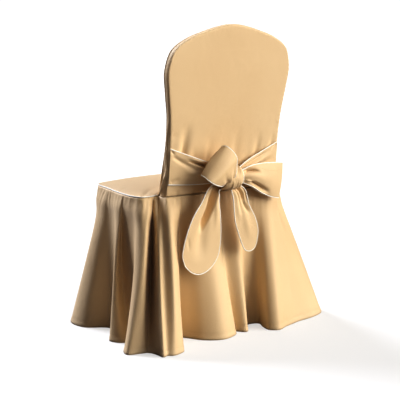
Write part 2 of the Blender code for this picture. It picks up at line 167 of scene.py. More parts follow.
def stretch(curve: Curve, start: float, end: float) -> Curve:
    """Return the part of a curve between two of its parameters."""
    return lambda t: curve(start + (end - start) * np.asarray(t, float))


def patch(low: Curve, high: Curve, left: Curve, right: Curve) -> Surface:
    """Fill four edge curves with a surface.

    Args:
        low: The edge at v = 0, along u.
        high: The edge at v = 1, along u.
        left: The edge at u = 0, along v.
        right: The edge at u = 1, along v.

    Returns:
        A surface of u and v.
    """
    def evaluate(u: Field, v: Field) -> Field:
        """Return the surface's points at u, v."""
        a = u[..., None]
        b = v[..., None]
        across = (1 - b) * low(u) + b * high(u)
        along = (1 - a) * left(v) + a * right(v)
        corners = ((1 - a) * (1 - b) * low(0.0) + a * (1 - b) * low(1.0)
                   + (1 - a) * b * high(0.0) + a * b * high(1.0))
        return across + along - corners

    return evaluate


def band(sections: Sequence[Section]) -> Surface:
    """Run a strip through sections, each one edge, the other edge and the rise of its middle.

    Args:
        sections: The strip's sections along v.

    Returns:
        A surface whose u crosses the strip and whose v runs along it.
    """
    along = spline([np.concatenate(section) for section in sections])

    def evaluate(u: Field, v: Field) -> Field:
        """Return the strip's points at u, v."""
        row = along(v)
        a = u[..., None]
        return row[..., 0:3] * (1 - a) + row[..., 3:6] * a + row[..., 6:9] * 4 * a * (1 - a)

    return evaluate


def smooth_step(low: float, high: float, value: Field) -> Field:
    """Return 0 below low and 1 above high, with a smooth way between them."""
    t = np.clip((value - low) / (high - low), 0.0, 1.0)
    return t * t * (3 - 2 * t)


def drift(u: Field, v: Field, seed: int, around: tuple[int, int], along: tuple[float, float]) -> Field:
    """Sum a few seeded waves into a soft unevenness of about -1..1.

    Args:
        u: First parameter of each point.
        v: Second parameter of each point.
        seed: Seed of the waves.
        around: Fewest and most whole waves along u, so that a closed sheet still joins.
        along: Fewest and most waves along v.

    Returns:
        The sum at each point.
    """
    draw = np.random.default_rng(seed)
    waves = 7
    height = 1.6
    total = np.zeros_like(u)
    for _ in range(waves):
        turns = draw.integers(around[0], around[1] + 1) * draw.choice((-1, 1))
        rows = draw.uniform(*along)
        phase = draw.uniform(0.0, 2 * math.pi)
        total += np.sin(2 * math.pi * (turns * u + rows * v) + phase)
    return total / waves * height


def arch(t: Field, power: float = 1.0) -> Field:
    """Return a rise from 0 to 1 and back over 0..1, blunter for a power below 1."""
    return np.sin(math.pi * t) ** power


def unit(rows: Field) -> Field:
    """Return rows of vectors, each scaled to length 1."""
    return rows / np.linalg.norm(rows, axis=-1, keepdims=True)


def grid(columns: int, rows: int) -> tuple[Field, Field]:
    """Return u and v at the corners of a grid of so many steps each way."""
    v, u = np.meshgrid(np.linspace(0, 1, rows + 1), np.linspace(0, 1, columns + 1), indexing="ij")
    return u, v


def put(name: str, data: bpy.types.ID) -> bpy.types.Object:
    """Make an object of some data, link it to the scene and return it."""
    made = bpy.data.objects.new(name, data)
    bpy.context.scene.collection.objects.link(made)
    return made


@dataclass(frozen=True)
class Crease:
    """A trough or a ridge placed on a sheet, in the sheet's own 0..1 directions.

    A height below 0 is a trough. Half widths are metres of cloth at the start and the end.
    Rise and fall are the shares of the line over which it grows and dies away.
    """

    start: Spot
    end: Spot
    height: float
    widths: Spot
    rise: float = 0.3
    fall: float = 0.5
    profile: Profile = Profile.SOFT

    def mirrored(self) -> "Crease":
        """Return the same crease from the sheet's other end of u."""
        return replace(self, start=(1 - self.start[0], self.start[1]), end=(1 - self.end[0], self.end[1]))

    def relief(self, u: Field, v: Field, scale_u: Field, scale_v: Field) -> Field:
        """Work out the crease's height over a sheet.

        Args:
            u: First parameter of each point.
            v: Second parameter of each point.
            scale_u: Metres of cloth for one unit of u at each point.
            scale_v: Metres of cloth for one unit of v at each point.

        Returns:
            Heights in metres.
        """
        ax = (self.start[0] - u) * scale_u
        ay = (self.start[1] - v) * scale_v
        run_x = (self.end[0] - self.start[0]) * scale_u
        run_y = (self.end[1] - self.start[1]) * scale_v
        never_zero = 1e-12
        length_2 = run_x**2 + run_y**2 + never_zero
        t = -(ax * run_x + ay * run_y) / length_2
        inside = np.clip(t, 0.0, 1.0)
        away = np.hypot(ax + inside * run_x, ay + inside * run_y)
        side = np.sign(ax * run_y - ay * run_x)
        width = self.widths[0] + (self.widths[1] - self.widths[0]) * inside
        if self.profile is Profile.SOFT:
            across = np.exp(-(away / width) ** 2)
        elif self.profile is Profile.CREST:
            blunt = 0.3
            across = np.exp(blunt - np.sqrt((away / width) ** 2 + blunt**2))
        elif self.profile is Profile.TROUGH:
            flatness = 4
            across = np.exp(-(away / width) ** flatness)
        else:
            steep = 0.3
            across = np.exp(-(away / np.where(side > 0, width, steep * width)) ** 2)
        grow = smooth_step(0.0, self.rise, inside) if self.rise > 0 else 1.0
        die = smooth_step(0.0, self.fall, 1 - inside) if self.fall > 0 else 1.0
        return self.height * across * grow * die


@dataclass
class Sheet:
    """A sheet of cloth as rows of points, measured from the rear seam.

    points has one row for each step of v and one column for each step of u. outward is 1
    where u turns to v round the face that is seen, and -1 the other way. closed joins the
    last column to the first.
    """

    points: Field
    outward: int = 1
    closed: bool = False

    @classmethod
    def of(cls, surface: Surface, columns: int, rows: int, outward: int = 1,
           closed: bool = False) -> "Sheet":
        """Lay a sheet over a surface.

        Args:
            surface: The surface, of u and v.
            columns: Steps along u.
            rows: Steps along v.
            outward: 1 or -1, for the face that is seen.
            closed: True if the last column meets the first.

        Returns:
            The sheet.
        """
        return cls(surface(*grid(columns, rows)), outward, closed)

    def parameters(self) -> tuple[Field, Field]:
        """Return u and v at each point."""
        rows, columns = self.points.shape[:2]
        return grid(columns - 1, rows - 1)

    def slopes(self) -> tuple[Field, Field]:
        """Return how the points move with u and with v."""
        rows, columns = self.points.shape[:2]
        if self.closed:
            ring = self.points[:, :-1]
            wide = np.concatenate((ring[:, -1:], ring, ring[:, :1], ring[:, 1:2]), axis=1)
            along_u = np.gradient(wide, axis=1)[:, 1:-1] * (columns - 1)
        else:
            along_u = np.gradient(self.points, axis=1) * (columns - 1)
        along_v = np.gradient(self.points, axis=0) * (rows - 1)
        return along_u, along_v

    def scales(self) -> tuple[Field, Field]:
        """Return the metres of cloth for one unit of u and of v at each point."""
        along_u, along_v = self.slopes()
        return np.linalg.norm(along_u, axis=-1), np.linalg.norm(along_v, axis=-1)

    def normals(self) -> Field:
        """Return unit normals on the seen face."""
        normal = np.cross(*self.slopes()) * self.outward
        never_zero = 1e-9
        return normal / np.maximum(np.linalg.norm(normal, axis=-1, keepdims=True), never_zero)

    def creased(self, creases: Sequence[Crease], extra: Field | float = 0.0) -> "Sheet":
        """Press creases into the sheet.

        Args:
            creases: The creases.
            extra: More height in metres, at each point.

        Returns:
            A new sheet.
        """
        u, v = self.parameters()
        scales = self.scales()
        height = np.zeros_like(u) + extra
        for crease in creases:
            height += crease.relief(u, v, *scales)
        return Sheet(self.points + self.normals() * height[..., None], self.outward, self.closed)

    def edge(self, side: Side, outset: float) -> Field:
        """Return the points along an edge, moved away from the sheet in its own surface.

        Args:
            side: The edge.
            outset: Metres to move.

        Returns:
            Points in the order of u or v.
        """
        rim, within = {
            Side.FIRST: (np.s_[:, 0], np.s_[:, 2]),
            Side.LAST: (np.s_[:, -1], np.s_[:, -3]),
            Side.LOW: (0, 2),
            Side.HIGH: (-1, -3),
        }[side]
        line = self.points[rim]
        run = unit(np.gradient(line, axis=0))
        way = line - self.points[within]
        way -= run * np.sum(way * run, axis=1)[:, None]
        return line + unit(way) * outset

    def line(self, u: Field, v: Field, lift: float) -> Field:
        """Return points on the sheet along a line of parameters.

        Args:
            u: First parameter along the line.
            v: Second parameter along the line.
            lift: Metres off the seen face.

        Returns:
            Points in the line's order.
        """
        rows, columns = self.points.shape[:2]
        r = np.asarray(v, float) * (rows - 1)
        c = np.asarray(u, float) * (columns - 1)
        r0 = np.clip(r.astype(int), 0, rows - 2)
        c0 = np.clip(c.astype(int), 0, columns - 2)
        fr = (r - r0)[:, None]
        fc = (c - c0)[:, None]
        raised = self.points + self.normals() * lift
        return (raised[r0, c0] * (1 - fr) * (1 - fc) + raised[r0 + 1, c0] * fr * (1 - fc)
                + raised[r0, c0 + 1] * (1 - fr) * fc + raised[r0 + 1, c0 + 1] * fr * fc)

    def to_object(self, name: str, thickness: float,
                  finish: bpy.types.Material) -> bpy.types.Object:
        """Make the sheet a mesh object with the cloth's thickness and a UV map in metres.

        Args:
            name: The piece's name.
            thickness: The cloth's thickness in metres.
            finish: Its material.

        Returns:
            The new object.
        """
        rows, columns = self.points.shape[:2]
        kept = columns - 1 if self.closed else columns
        index = np.arange(rows * kept).reshape(rows, kept)
        right = np.roll(index, -1, axis=1) if self.closed else index[:, 1:]
        left = index if self.closed else index[:, :-1]
        order = (left[:-1], right[:-1], right[1:], left[1:])
        if self.outward < 0:
            order = order[::-1]
        faces = np.stack(order, axis=-1).reshape(-1, 4)
        mesh = bpy.data.meshes.new(name)
        placed = (self.points[:, :kept] + REAR_SEAM).reshape(-1, 3)
        mesh.from_pydata(placed.tolist(), [], faces.tolist())
        grid = np.arange(rows * columns).reshape(rows, columns)
        corners = (grid[:-1, :-1], grid[:-1, 1:], grid[1:, 1:], grid[1:, :-1])
        if self.outward < 0:
            corners = corners[::-1]
        loops = np.stack(corners, axis=-1).reshape(-1)
        layer = mesh.uv_layers.new(name=CLOTH_UV)
        laid = self.flat().reshape(-1, 2)[loops]
        layer.data.foreach_set("uv", laid.astype(np.float32).ravel())
        mesh.shade_smooth()
        mesh.materials.append(finish)
        piece = put(name, mesh)
        wall = piece.modifiers.new("cloth thickness", "SOLIDIFY")
        wall.thickness = thickness
        wall.offset = 0.0
        return piece

    def flat(self) -> Field:
        """Return the sheet laid flat: metres along u and along v at each point."""
        step_u = np.linalg.norm(np.diff(self.points, axis=1), axis=-1).mean(axis=0)
        step_v = np.linalg.norm(np.diff(self.points, axis=0), axis=-1)
        across = np.concatenate(([0.0], np.cumsum(step_u)))
        up = np.concatenate((np.zeros((1, step_v.shape[1])), np.cumsum(step_v, axis=0)))
        return np.stack((np.broadcast_to(across, up.shape), up), axis=-1)


class NodeTree:
    """A short way to add and join nodes in a shader or geometry tree."""

    def __init__(self, tree: bpy.types.NodeTree) -> None:
        """Keep the tree."""
        self.tree = tree

    def fill(self, node: bpy.types.Node, inputs: Inputs) -> None:
        """Give a node's inputs, by name or number, their values or the sockets that feed them."""
        for key, value in inputs.items():
            if isinstance(value, bpy.types.NodeSocket):
                self.tree.links.new(value, node.inputs[key])
            else:
                node.inputs[key].default_value = value

    def add(self, kind: str, inputs: Inputs | None = None, **settings: object) -> bpy.types.Node:
        """Add a node.

        Args:
            kind: Blender's name of the node type.
            inputs: Values or output sockets, by input name or number.
            settings: The node's own settings.

        Returns:
            The node.
        """
        node = self.tree.nodes.new(kind)
        for name, value in settings.items():
            setattr(node, name, value)
        self.fill(node, inputs or {})
        return node

    def math(self, operation: str, *values: object) -> bpy.types.NodeSocket:
        """Add a Math node and return its result."""
        return self.add("ShaderNodeMath", dict(enumerate(values)), operation=operation).outputs[0]

    def blend(self, share: object, one: object, other: object) -> bpy.types.NodeSocket:
        """Mix two colours, each a socket or red, green and blue, and return the result."""
        one, other = ((*value, 1.0) if isinstance(value, tuple) else value for value in (one, other))
        return self.add("ShaderNodeMix", {0: share, 6: one, 7: other}, data_type="RGBA").outputs[2]

    def spread(self, value: bpy.types.NodeSocket, low: float, high: float,
               to_low: float = 0.0, to_high: float = 1.0) -> bpy.types.NodeSocket:
        """Stretch a range of a value onto another, held at both ends, and return the result."""
        ends = {0: value, 1: low, 2: high, 3: to_low, 4: to_high}
        return self.add("ShaderNodeMapRange", ends).outputs[0]

    def bump(self, strength: float, distance: float, height: bpy.types.NodeSocket,
             **under: bpy.types.NodeSocket) -> bpy.types.NodeSocket:
        """Add a Bump node, over another given as Normal if there is one, and return its normal."""
        return self.add("ShaderNodeBump", {"Strength": strength, "Distance": distance,
                                           "Height": height, **under}).outputs[0]


def group(name: str, kind: str, inputs: SocketRows, outputs: SocketRows) -> tuple[NodeTree, Sockets]:
    """Start a node group.

    Args:
        name: The group's name.
        kind: Blender's name of the tree type.
        inputs: Each input's name, socket type and, if it has one, value where nothing is joined.
        outputs: Each output's name and socket type.

    Returns:
        The group's tree, and the sockets that bring its inputs in.
    """
    tree = bpy.data.node_groups.new(name, kind)
    for way, rows in (("INPUT", inputs), ("OUTPUT", outputs)):
        for label, socket, *default in rows:
            made = tree.interface.new_socket(label, in_out=way, socket_type="NodeSocket" + socket)
            if default:
                made.default_value = default[0]
    t = NodeTree(tree)
    return t, t.add("NodeGroupInput").outputs


def weave_group() -> bpy.types.NodeTree:
    """Build the woven ground that the cloth and the piping share.

    Returns:
        A shader group: yarn height, and a tone that varies along the yarns.
    """
    step_on = 0.4
    yarns_floated = 5
    roundness = 0.35
    slub_scale = (420.0, 22.0, 60.0)
    t, given = group("satin weave", "ShaderNodeTree",
                     (("Vector", "Vector"), ("Yarns per metre", "Float", 1400.0), ("Slub", "Float", 0.5)),
                     (("Height", "Float"), ("Tone", "Float")))
    scaled = t.add("ShaderNodeVectorMath", {0: given["Vector"], "Scale": given["Yarns per metre"]},
                   operation="SCALE").outputs[0]
    parts = t.add("ShaderNodeSeparateXYZ", {0: scaled}).outputs
    warp = t.math("ABSOLUTE", t.math("SINE", t.math("MULTIPLY", parts[0], math.pi)))
    shifted = t.math("ADD", parts[1], t.math("MULTIPLY", t.math("FLOOR", parts[0]), step_on))
    float_end = t.math("ABSOLUTE", t.math("SINE", t.math("MULTIPLY", shifted, math.pi / yarns_floated)))
    ground = t.math("MULTIPLY", warp, t.math("POWER", float_end, roundness))
    along = t.add("ShaderNodeVectorMath", {0: given["Vector"], 1: slub_scale},
                  operation="MULTIPLY").outputs[0]
    slub = t.add("ShaderNodeTexNoise", {"Vector": along, "Scale": 1.0, "Detail": 2.0, "Roughness": 0.6})
    height = t.math("ADD", ground, t.math("MULTIPLY", slub.outputs[0], given["Slub"]))
    t.add("NodeGroupOutput", {"Height": height, "Tone": slub.outputs[0]})
    return t.tree


def crumple_group() -> bpy.types.NodeTree:
    """Build the faint handling marks of pressed cloth.

    Returns:
        A shader group: a height, and a mask for broad changes of colour.
    """
    wander = (0.06, 0.06, 0.06)
    bend_scale = 5.0
    broad_scale = 3.2
    t, given = group("pressed cloth", "ShaderNodeTree", (("Vector", "Vector"), ("Size", "Float", 14.0)),
                     (("Height", "Float"), ("Broad", "Float")))
    at = given["Vector"]
    bend = t.add("ShaderNodeTexNoise", {"Vector": at, "Scale": bend_scale, "Detail": 1.0})
    moved = t.add("ShaderNodeVectorMath", {0: bend.outputs[1], 1: wander, 2: at},
                  operation="MULTIPLY_ADD").outputs[0]
    marks = t.add("ShaderNodeTexNoise", {"Vector": moved, "Scale": given["Size"], "Detail": 3.0,
                                         "Roughness": 0.45, "Distortion": 0.6})
    ridged = t.math("ABSOLUTE", t.math("SUBTRACT", marks.outputs[0], 0.5))
    broad = t.add("ShaderNodeTexNoise", {"Vector": at, "Scale": broad_scale, "Detail": 2.0})
    t.add("NodeGroupOutput", {"Height": ridged, "Broad": broad.outputs[0]})
    return t.tree


def blank_material(name: str) -> tuple[bpy.types.Material, NodeTree, bpy.types.Node]:
    """Make a material and return it with its tree and its Principled node."""
    made = bpy.data.materials.new(name)
    made.use_nodes = True
    return made, NodeTree(made.node_tree), made.node_tree.nodes["Principled BSDF"]


@dataclass(frozen=True)
class ClothFinish:
    """Satin-faced cotton: fine yarns, a soft sheen and slightly uneven dye."""

    weave: bpy.types.NodeTree
    crumple: bpy.types.NodeTree
    colour: Place = (0.735, 0.545, 0.312)
    deep: Place = (0.655, 0.462, 0.246)
    pale: Place = (0.790, 0.620, 0.385)
    dust: Place = (0.560, 0.440, 0.300)
    evenness: float = 0.72
    yarn_tone: float = 0.10
    dusty: float = 0.22
    hem_top: float = 0.035
    roughness: float = 0.53
    roughness_spread: float = 0.07
    specular: float = 0.42
    sheen: float = 0.22
    sheen_roughness: float = 0.45
    yarns: float = 1400.0
    mark_strength: float = 0.35
    mark_depth: float = 0.0035
    yarn_strength: float = 0.45
    yarn_depth: float = 0.00022

    def material(self, name: str) -> bpy.types.Material:
        """Make the cloth's material.

        Args:
            name: The material's name.

        Returns:
            The material, which reads the UV map in metres and Object coordinates.
        """
        made, t, shader = blank_material(name)
        at = t.add("ShaderNodeTexCoord").outputs["Object"]
        laid = t.add("ShaderNodeUVMap", uv_map=CLOTH_UV).outputs[0]
        woven = t.add("ShaderNodeGroup", {"Vector": laid, "Yarns per metre": self.yarns},
                      node_tree=self.weave).outputs
        pressed = t.add("ShaderNodeGroup", {"Vector": at}, node_tree=self.crumple).outputs
        tone = t.spread(woven["Tone"], 0.3, 0.7)
        broad = t.spread(pressed["Broad"], 0.35, 0.65)
        dyed = t.blend(self.evenness, t.blend(broad, self.deep, self.pale), self.colour)
        yarned = t.blend(t.math("MULTIPLY", tone, self.yarn_tone), dyed, self.pale)
        height = t.add("ShaderNodeSeparateXYZ", {0: at}).outputs[2]
        low = t.spread(height, 0.0, self.hem_top, self.dusty, 0.0)
        marks = t.bump(self.mark_strength, self.mark_depth, pressed["Height"])
        t.fill(shader, {
            "Base Color": t.blend(t.math("MULTIPLY", low, broad), yarned, self.dust),
            "Roughness": t.math("ADD", t.math("MULTIPLY", tone, self.roughness_spread), self.roughness),
            "Metallic": 0.0,
            "Specular IOR Level": self.specular,
            "Sheen Weight": self.sheen,
            "Sheen Roughness": self.sheen_roughness,
            "Normal": t.bump(self.yarn_strength, self.yarn_depth, woven["Height"], Normal=marks),
        })
        return made


@dataclass(frozen=True)
class PipingFinish:
    """Cream piping: bias-cut cloth wound over a cord, a little rubbed in patches."""

    weave: bpy.types.NodeTree
    colour: Place = (0.975, 0.940, 0.850)
    rubbed: Place = (0.920, 0.860, 0.740)
    rubbed_most: float = 0.55
    roughness: float = 0.50
    roughness_spread: float = 0.15
    sheen: float = 0.15
    yarns: float = 1100.0
    yarn_depth: float = 0.0003
    bias: Place = (0.6, 0.7, 0.8)

    def material(self, name: str) -> bpy.types.Material:
        """Make the piping's material.

        Args:
            name: The material's name.

        Returns:
            The material, which reads Object coordinates.
        """
        made, t, shader = blank_material(name)
        at = t.add("ShaderNodeTexCoord").outputs["Object"]
        turned = t.add("ShaderNodeMapping", {"Vector": at, "Rotation": self.bias}).outputs[0]
        woven = t.add("ShaderNodeGroup", {"Vector": turned, "Yarns per metre": self.yarns},
                      node_tree=self.weave).outputs
        patchy = t.add("ShaderNodeTexNoise", {"Vector": at, "Scale": 38.0, "Detail": 3.0}).outputs[0]
        worn = t.spread(patchy, 0.48, 0.72, 0.0, self.rubbed_most)
        t.fill(shader, {
            "Base Color": t.blend(worn, self.colour, self.rubbed),
            "Roughness": t.math("ADD", t.math("MULTIPLY", worn, self.roughness_spread), self.roughness),
            "Metallic": 0.0,
            "Sheen Weight": self.sheen,
            "Normal": t.bump(0.5, self.yarn_depth, woven["Height"]),
        })
        return made


@dataclass(frozen=True)
class ThreadFinish:
    """Twisted sewing thread, a shade deeper than the cloth."""

    colour: Place = (0.560, 0.350, 0.165)
    light: Place = (0.760, 0.540, 0.300)
    roughness: float = 0.42
    twists: float = 900.0
    twist_depth: float = 0.0002

    def material(self, name: str) -> bpy.types.Material:
        """Make the thread's material and return it."""
        made, t, shader = blank_material(name)
        at = t.add("ShaderNodeTexCoord").outputs["Object"]
        twist = t.add("ShaderNodeTexNoise", {"Vector": at, "Scale": self.twists, "Detail": 1.0}).outputs[0]
        t.fill(shader, {
            "Base Color": t.blend(twist, self.colour, self.light),
            "Metallic": 0.0,
            "Roughness": self.roughness,
            "Normal": t.bump(0.4, self.twist_depth, twist),
        })
        return made


@dataclass
class Finishes:
    """The finished materials of the cover."""

    cloth: bpy.types.Material
    piping: bpy.types.Material
    thread: bpy.types.Material


def dress(t: NodeTree, mesh: bpy.types.NodeSocket, finish: bpy.types.Material) -> bpy.types.NodeTree:
    """End a geometry tree with its mesh made real and given a material, and return the tree."""
    whole = t.add("GeometryNodeRealizeInstances", {0: mesh}).outputs[0]
    dressed = t.add("GeometryNodeSetMaterial", {0: whole, "Material": finish}).outputs[0]
    t.add("NodeGroupOutput", {0: dressed})
    return t.tree


def cord_tree(finish: bpy.types.Material) -> bpy.types.NodeTree:
    """Build the geometry nodes that put a round cord along a line of points.

    Args:
        finish: The cord's material.

    Returns:
        The tree, with named inputs Radius and Sides.
    """
    t, given = group("covered cord", "GeometryNodeTree",
                     (("Geometry", "Geometry"), ("Radius", "Float", PIPE_RADIUS),
                      ("Sides", "Int", CORD_SIDES)),
                     (("Geometry", "Geometry"),))
    path = t.add("GeometryNodeMeshToCurve", {0: given["Geometry"]}).outputs[0]
    ring = t.add("GeometryNodeCurvePrimitiveCircle",
                 {"Resolution": given["Sides"], "Radius": given["Radius"]}).outputs[0]
    tube = t.add("GeometryNodeCurveToMesh", {"Curve": path, "Profile Curve": ring, "Fill Caps": True})
    return dress(t, t.add("GeometryNodeSetShadeSmooth", {0: tube.outputs[0]}).outputs[0], finish)


def stitch_tree(finish: bpy.types.Material) -> bpy.types.NodeTree:
    """Build the geometry nodes that sew stitches along a line of points.

    Args:
        finish: The thread's material.

    Returns:
        The tree, with named inputs Pitch, Length and Radius.
    """
    t, given = group("row of stitches", "GeometryNodeTree",
                     (("Geometry", "Geometry"), ("Pitch", "Float", 0.004), ("Length", "Float", 0.003),
                      ("Radius", "Float", THREAD_RADIUS)),
                     (("Geometry", "Geometry"),))
    path = t.add("GeometryNodeMeshToCurve", {0: given["Geometry"]}).outputs[0]
    spaced = t.add("GeometryNodeResampleCurve", {"Curve": path, "Length": given["Pitch"]}, mode="LENGTH")
    bead = t.add("GeometryNodeMeshIcoSphere", {"Radius": 1.0, "Subdivisions": 1}).outputs[0]
    half = t.math("MULTIPLY", given["Length"], 0.5)
    size = t.add("ShaderNodeCombineXYZ", {0: given["Radius"], 1: given["Radius"], 2: half}).outputs[0]
    thread = t.add("GeometryNodeTransform", {"Geometry": bead, "Scale": size}).outputs[0]
    way = t.add("GeometryNodeInputTangent").outputs[0]
    turned = t.add("FunctionNodeAlignRotationToVector", {"Vector": way}, axis="Z").outputs[0]
    placed = t.add("GeometryNodeInstanceOnPoints",
                   {"Points": spaced.outputs[0], "Instance": thread, "Rotation": turned}).outputs[0]
    return dress(t, placed, finish)


@dataclass
class Workroom:
    """What every sub-assembly sews with: the finishes and the trees for cord and thread."""

    finishes: Finishes
    cord: bpy.types.NodeTree
    stitch: bpy.types.NodeTree

    def cloth(self, name: str, sheet: Sheet, node: str, cut: Spot, held: Held,
              thickness: float = 0.0016, area: float | None = None) -> bpy.types.Object:
        """Args:
            name: The piece's name.
            sheet: Its shape.
            node: The CAD node that it stands for.
            cut: Width and length of the flat cut. Not used.
            held: How it is held. Not used.
            thickness: The cloth's thickness.
            area: Flat area where the cut isn't a rectangle. Not used.

        Returns:
            The piece.
        """
        piece = sheet.to_object(name, thickness, self.finishes.cloth)
        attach(piece, BODY)
        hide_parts(node)
        log.info("%s: %d faces before its thickness", name, len(piece.data.polygons))
        return piece

    def along(self, name: str, line: Field, tree: bpy.types.NodeTree, sizes: dict[str, float],
              slot: Slot, closed: bool = False) -> bpy.types.Object:
        """Run a geometry tree along a line and keep the result as a plain mesh.

        Args:
            name: The piece's name.
            line: Points measured from the rear seam.
            tree: The tree.
            sizes: Values of the tree's named inputs.
            slot: The record's material slot. Not used.
            closed: True if the line's end meets its start.

        Returns:
            The piece.
        """
        count = len(line)
        edges = [(i, i + 1) for i in range(count - 1)]
        if closed:
            edges.append((count - 1, 0))
        mesh = bpy.data.meshes.new(name + " line")
        mesh.from_pydata((line + REAR_SEAM).tolist(), edges, [])
        carrier = put(name + " line", mesh)
        work = carrier.modifiers.new("sewn", "NODES")
        work.node_group = tree
        for item in tree.interface.items_tree:
            if item.item_type == "SOCKET" and item.in_out == "INPUT" and item.name in sizes:
                work[item.identifier] = sizes[item.name]
        seen = carrier.evaluated_get(bpy.context.evaluated_depsgraph_get())
        made = bpy.data.meshes.new_from_object(seen)
        made.name = name
        carrier.modifiers.remove(work)
        bpy.data.objects.remove(carrier)
        bpy.data.meshes.remove(mesh)
        piece = put(name, made)
        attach(piece, BODY)
        log.info("%s: %d faces", name, len(made.polygons))
        return piece

    def piping(self, name: str, line: Field, node: str) -> bpy.types.Object:
        """Sew piping along a line, in the place of its CAD node, and return it."""
        piece = self.along(name, line, self.cord, {"Radius": PIPE_RADIUS, "Sides": CORD_SIDES}, Slot.CREAM)
        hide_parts(node)
        return piece

    def stitches(self, name: str, line: Field, pitch: float, length: float,
                 closed: bool = False) -> bpy.types.Object:
        """Sew a row of stitches along a line and return it."""
        return self.along(name, line, self.stitch, {"Pitch": pitch, "Length": length}, Slot.TAN, closed)


@dataclass(frozen=True)
class PanelCloth:
    """How one of the back's panels is shaped: heights in metres, waves and seeds for drift."""

    columns: int
    rows: int
    full: float
    uneven: float
    seed: int
    waves: Spot
    turned_in: float
    pucker_seed: int


@dataclass
class Back:
    """The stretched sleeve over the chair's back: two panels and the gusset between them."""

    outline: tuple[Spot, ...] = (
        (0.2020, SEAM_Z),
        (0.2030, 0.530),
        (0.2010, 0.600),
        (0.2060, 0.680),
        (0.2160, 0.750),
        (0.2215, 0.809),
        (0.2030, 0.866),
        (0.1510, 0.901),
        (0.0980, 0.919),
        (0.0490, 0.932),
        (0.0000, 0.939),
    )
    shoulder: int = 6
    depths: tuple[Spot, ...] = (
        (SEAM_Z, 0.040),
        (0.550, 0.026),
        (0.680, 0.020),
        (0.800, 0.023),
        (0.940, 0.025),
    )
    # Troughs that the sash pulls into the rear panel: foot x, z; head x, z; depth; half widths
    pulls: tuple[tuple[Spot, Spot, float, Spot], ...] = (
        ((0.153, 0.558), (0.145, 0.664), 0.0105, (0.011, 0.018)),
        ((0.112, 0.548), (0.120, 0.594), 0.0018, (0.008, 0.012)),
        ((0.066, 0.535), (0.054, 0.632), 0.0034, (0.010, 0.018)),
        ((0.018, 0.530), (0.022, 0.580), 0.0018, (0.008, 0.014)),
        ((-0.037, 0.525), (-0.045, 0.655), 0.0030, (0.011, 0.019)),
        ((-0.118, 0.545), (-0.130, 0.626), 0.0046, (0.009, 0.016)),
        ((-0.176, 0.562), (-0.186, 0.616), 0.0036, (0.007, 0.012)),
    )
    rear: PanelCloth = PanelCloth(columns=132, rows=150, full=0.0030, uneven=0.0007, seed=11,
                                  waves=(0.3, 1.4), turned_in=0.0022, pucker_seed=31)
    front: PanelCloth = PanelCloth(columns=96, rows=110, full=0.0022, uneven=0.0008, seed=17,
                                   waves=(0.3, 1.6), turned_in=0.0018, pucker_seed=37)
    pucker: float = 0.0005
    pucker_fade: float = 0.007
    roll_width: float = 0.006
    waist_dip: float = 0.0022
    gusset_steps: tuple[int, int] = (620, 22)
    gusset_pucker: float = 0.00055
    gusset_slack: float = 0.0011
    gusset_puff: float = 0.0038
    rear_creases: tuple[Crease, ...] = (
        Crease((0.372, 1.0), (0.366, 0.972), -0.0016, (0.0022, 0.0035), 0.0, 0.8),
        Crease((0.352, 1.0), (0.350, 0.985), -0.0010, (0.0018, 0.0025), 0.0, 0.8),
        Crease((0.630, 1.0), (0.634, 0.980), -0.0009, (0.0020, 0.0030), 0.0, 0.8),
        Crease((0.020, 0.26), (0.190, 0.185), -0.0022, (0.006, 0.012), 0.1, 0.6),
        Crease((0.980, 0.25), (0.860, 0.180), -0.0020, (0.006, 0.010), 0.1, 0.6),
        Crease((0.015, 0.43), (0.100, 0.36), -0.0010, (0.008, 0.016), 0.1, 0.7),
        Crease((0.985, 0.45), (0.900, 0.37), -0.0010, (0.008, 0.016), 0.1, 0.7),
        Crease((0.100, 0.0), (0.086, 0.055), -0.0025, (0.004, 0.009), 0.0, 0.7),
        Crease((0.230, 0.0), (0.250, 0.05), -0.0018, (0.004, 0.009), 0.0, 0.7),
    )
    front_creases: tuple[Crease, ...] = (
        Crease((0.06, 0.02), (0.30, 0.10), -0.0026, (0.006, 0.014), 0.1, 0.6),
        Crease((0.94, 0.03), (0.72, 0.09), -0.0024, (0.006, 0.013), 0.1, 0.6),
        Crease((0.12, 0.10), (0.46, 0.15), 0.0018, (0.010, 0.020), 0.3, 0.6),
        Crease((0.88, 0.12), (0.58, 0.155), 0.0016, (0.009, 0.018), 0.3, 0.6),
        Crease((0.03, 0.30), (0.22, 0.20), -0.0016, (0.008, 0.016), 0.1, 0.7),
        Crease((0.97, 0.28), (0.80, 0.21), -0.0015, (0.008, 0.015), 0.1, 0.7),
        Crease((0.33, 0.0), (0.35, 0.07), -0.0020, (0.005, 0.011), 0.0, 0.8),
        Crease((0.62, 0.0), (0.60, 0.06), -0.0018, (0.005, 0.010), 0.0, 0.8),
    )
    # Folds of the gusset where its end is slack at the waist, the same at both ends
    gusset_folds: tuple[Crease, ...] = (
        Crease((0.004, 0.25), (0.060, 0.85), 0.0045, (0.004, 0.006), 0.1, 0.4, Profile.LAP),
        Crease((0.022, 0.10), (0.085, 0.62), -0.0042, (0.004, 0.006), 0.1, 0.5),
        Crease((0.050, 0.95), (0.120, 0.30), 0.0040, (0.004, 0.005), 0.2, 0.4, Profile.LAP),
        Crease((0.082, 0.80), (0.145, 0.42), -0.0036, (0.003, 0.005), 0.2, 0.5),
        Crease((0.112, 0.20), (0.185, 0.70), 0.0026, (0.003, 0.005), 0.2, 0.5),
    )

    def edge(self) -> Curve:
        """Return the outline from left seam over the top to right seam, as x and z."""
        left = list(self.outline)
        right = [(-width, height) for width, height in reversed(self.outline[:-1])]
        return spline(left + right)

    def lean(self, height: Field) -> Field:
        """Return how far the back leans to the rear at a height."""
        return RAKE * (height - SEAM_Z)

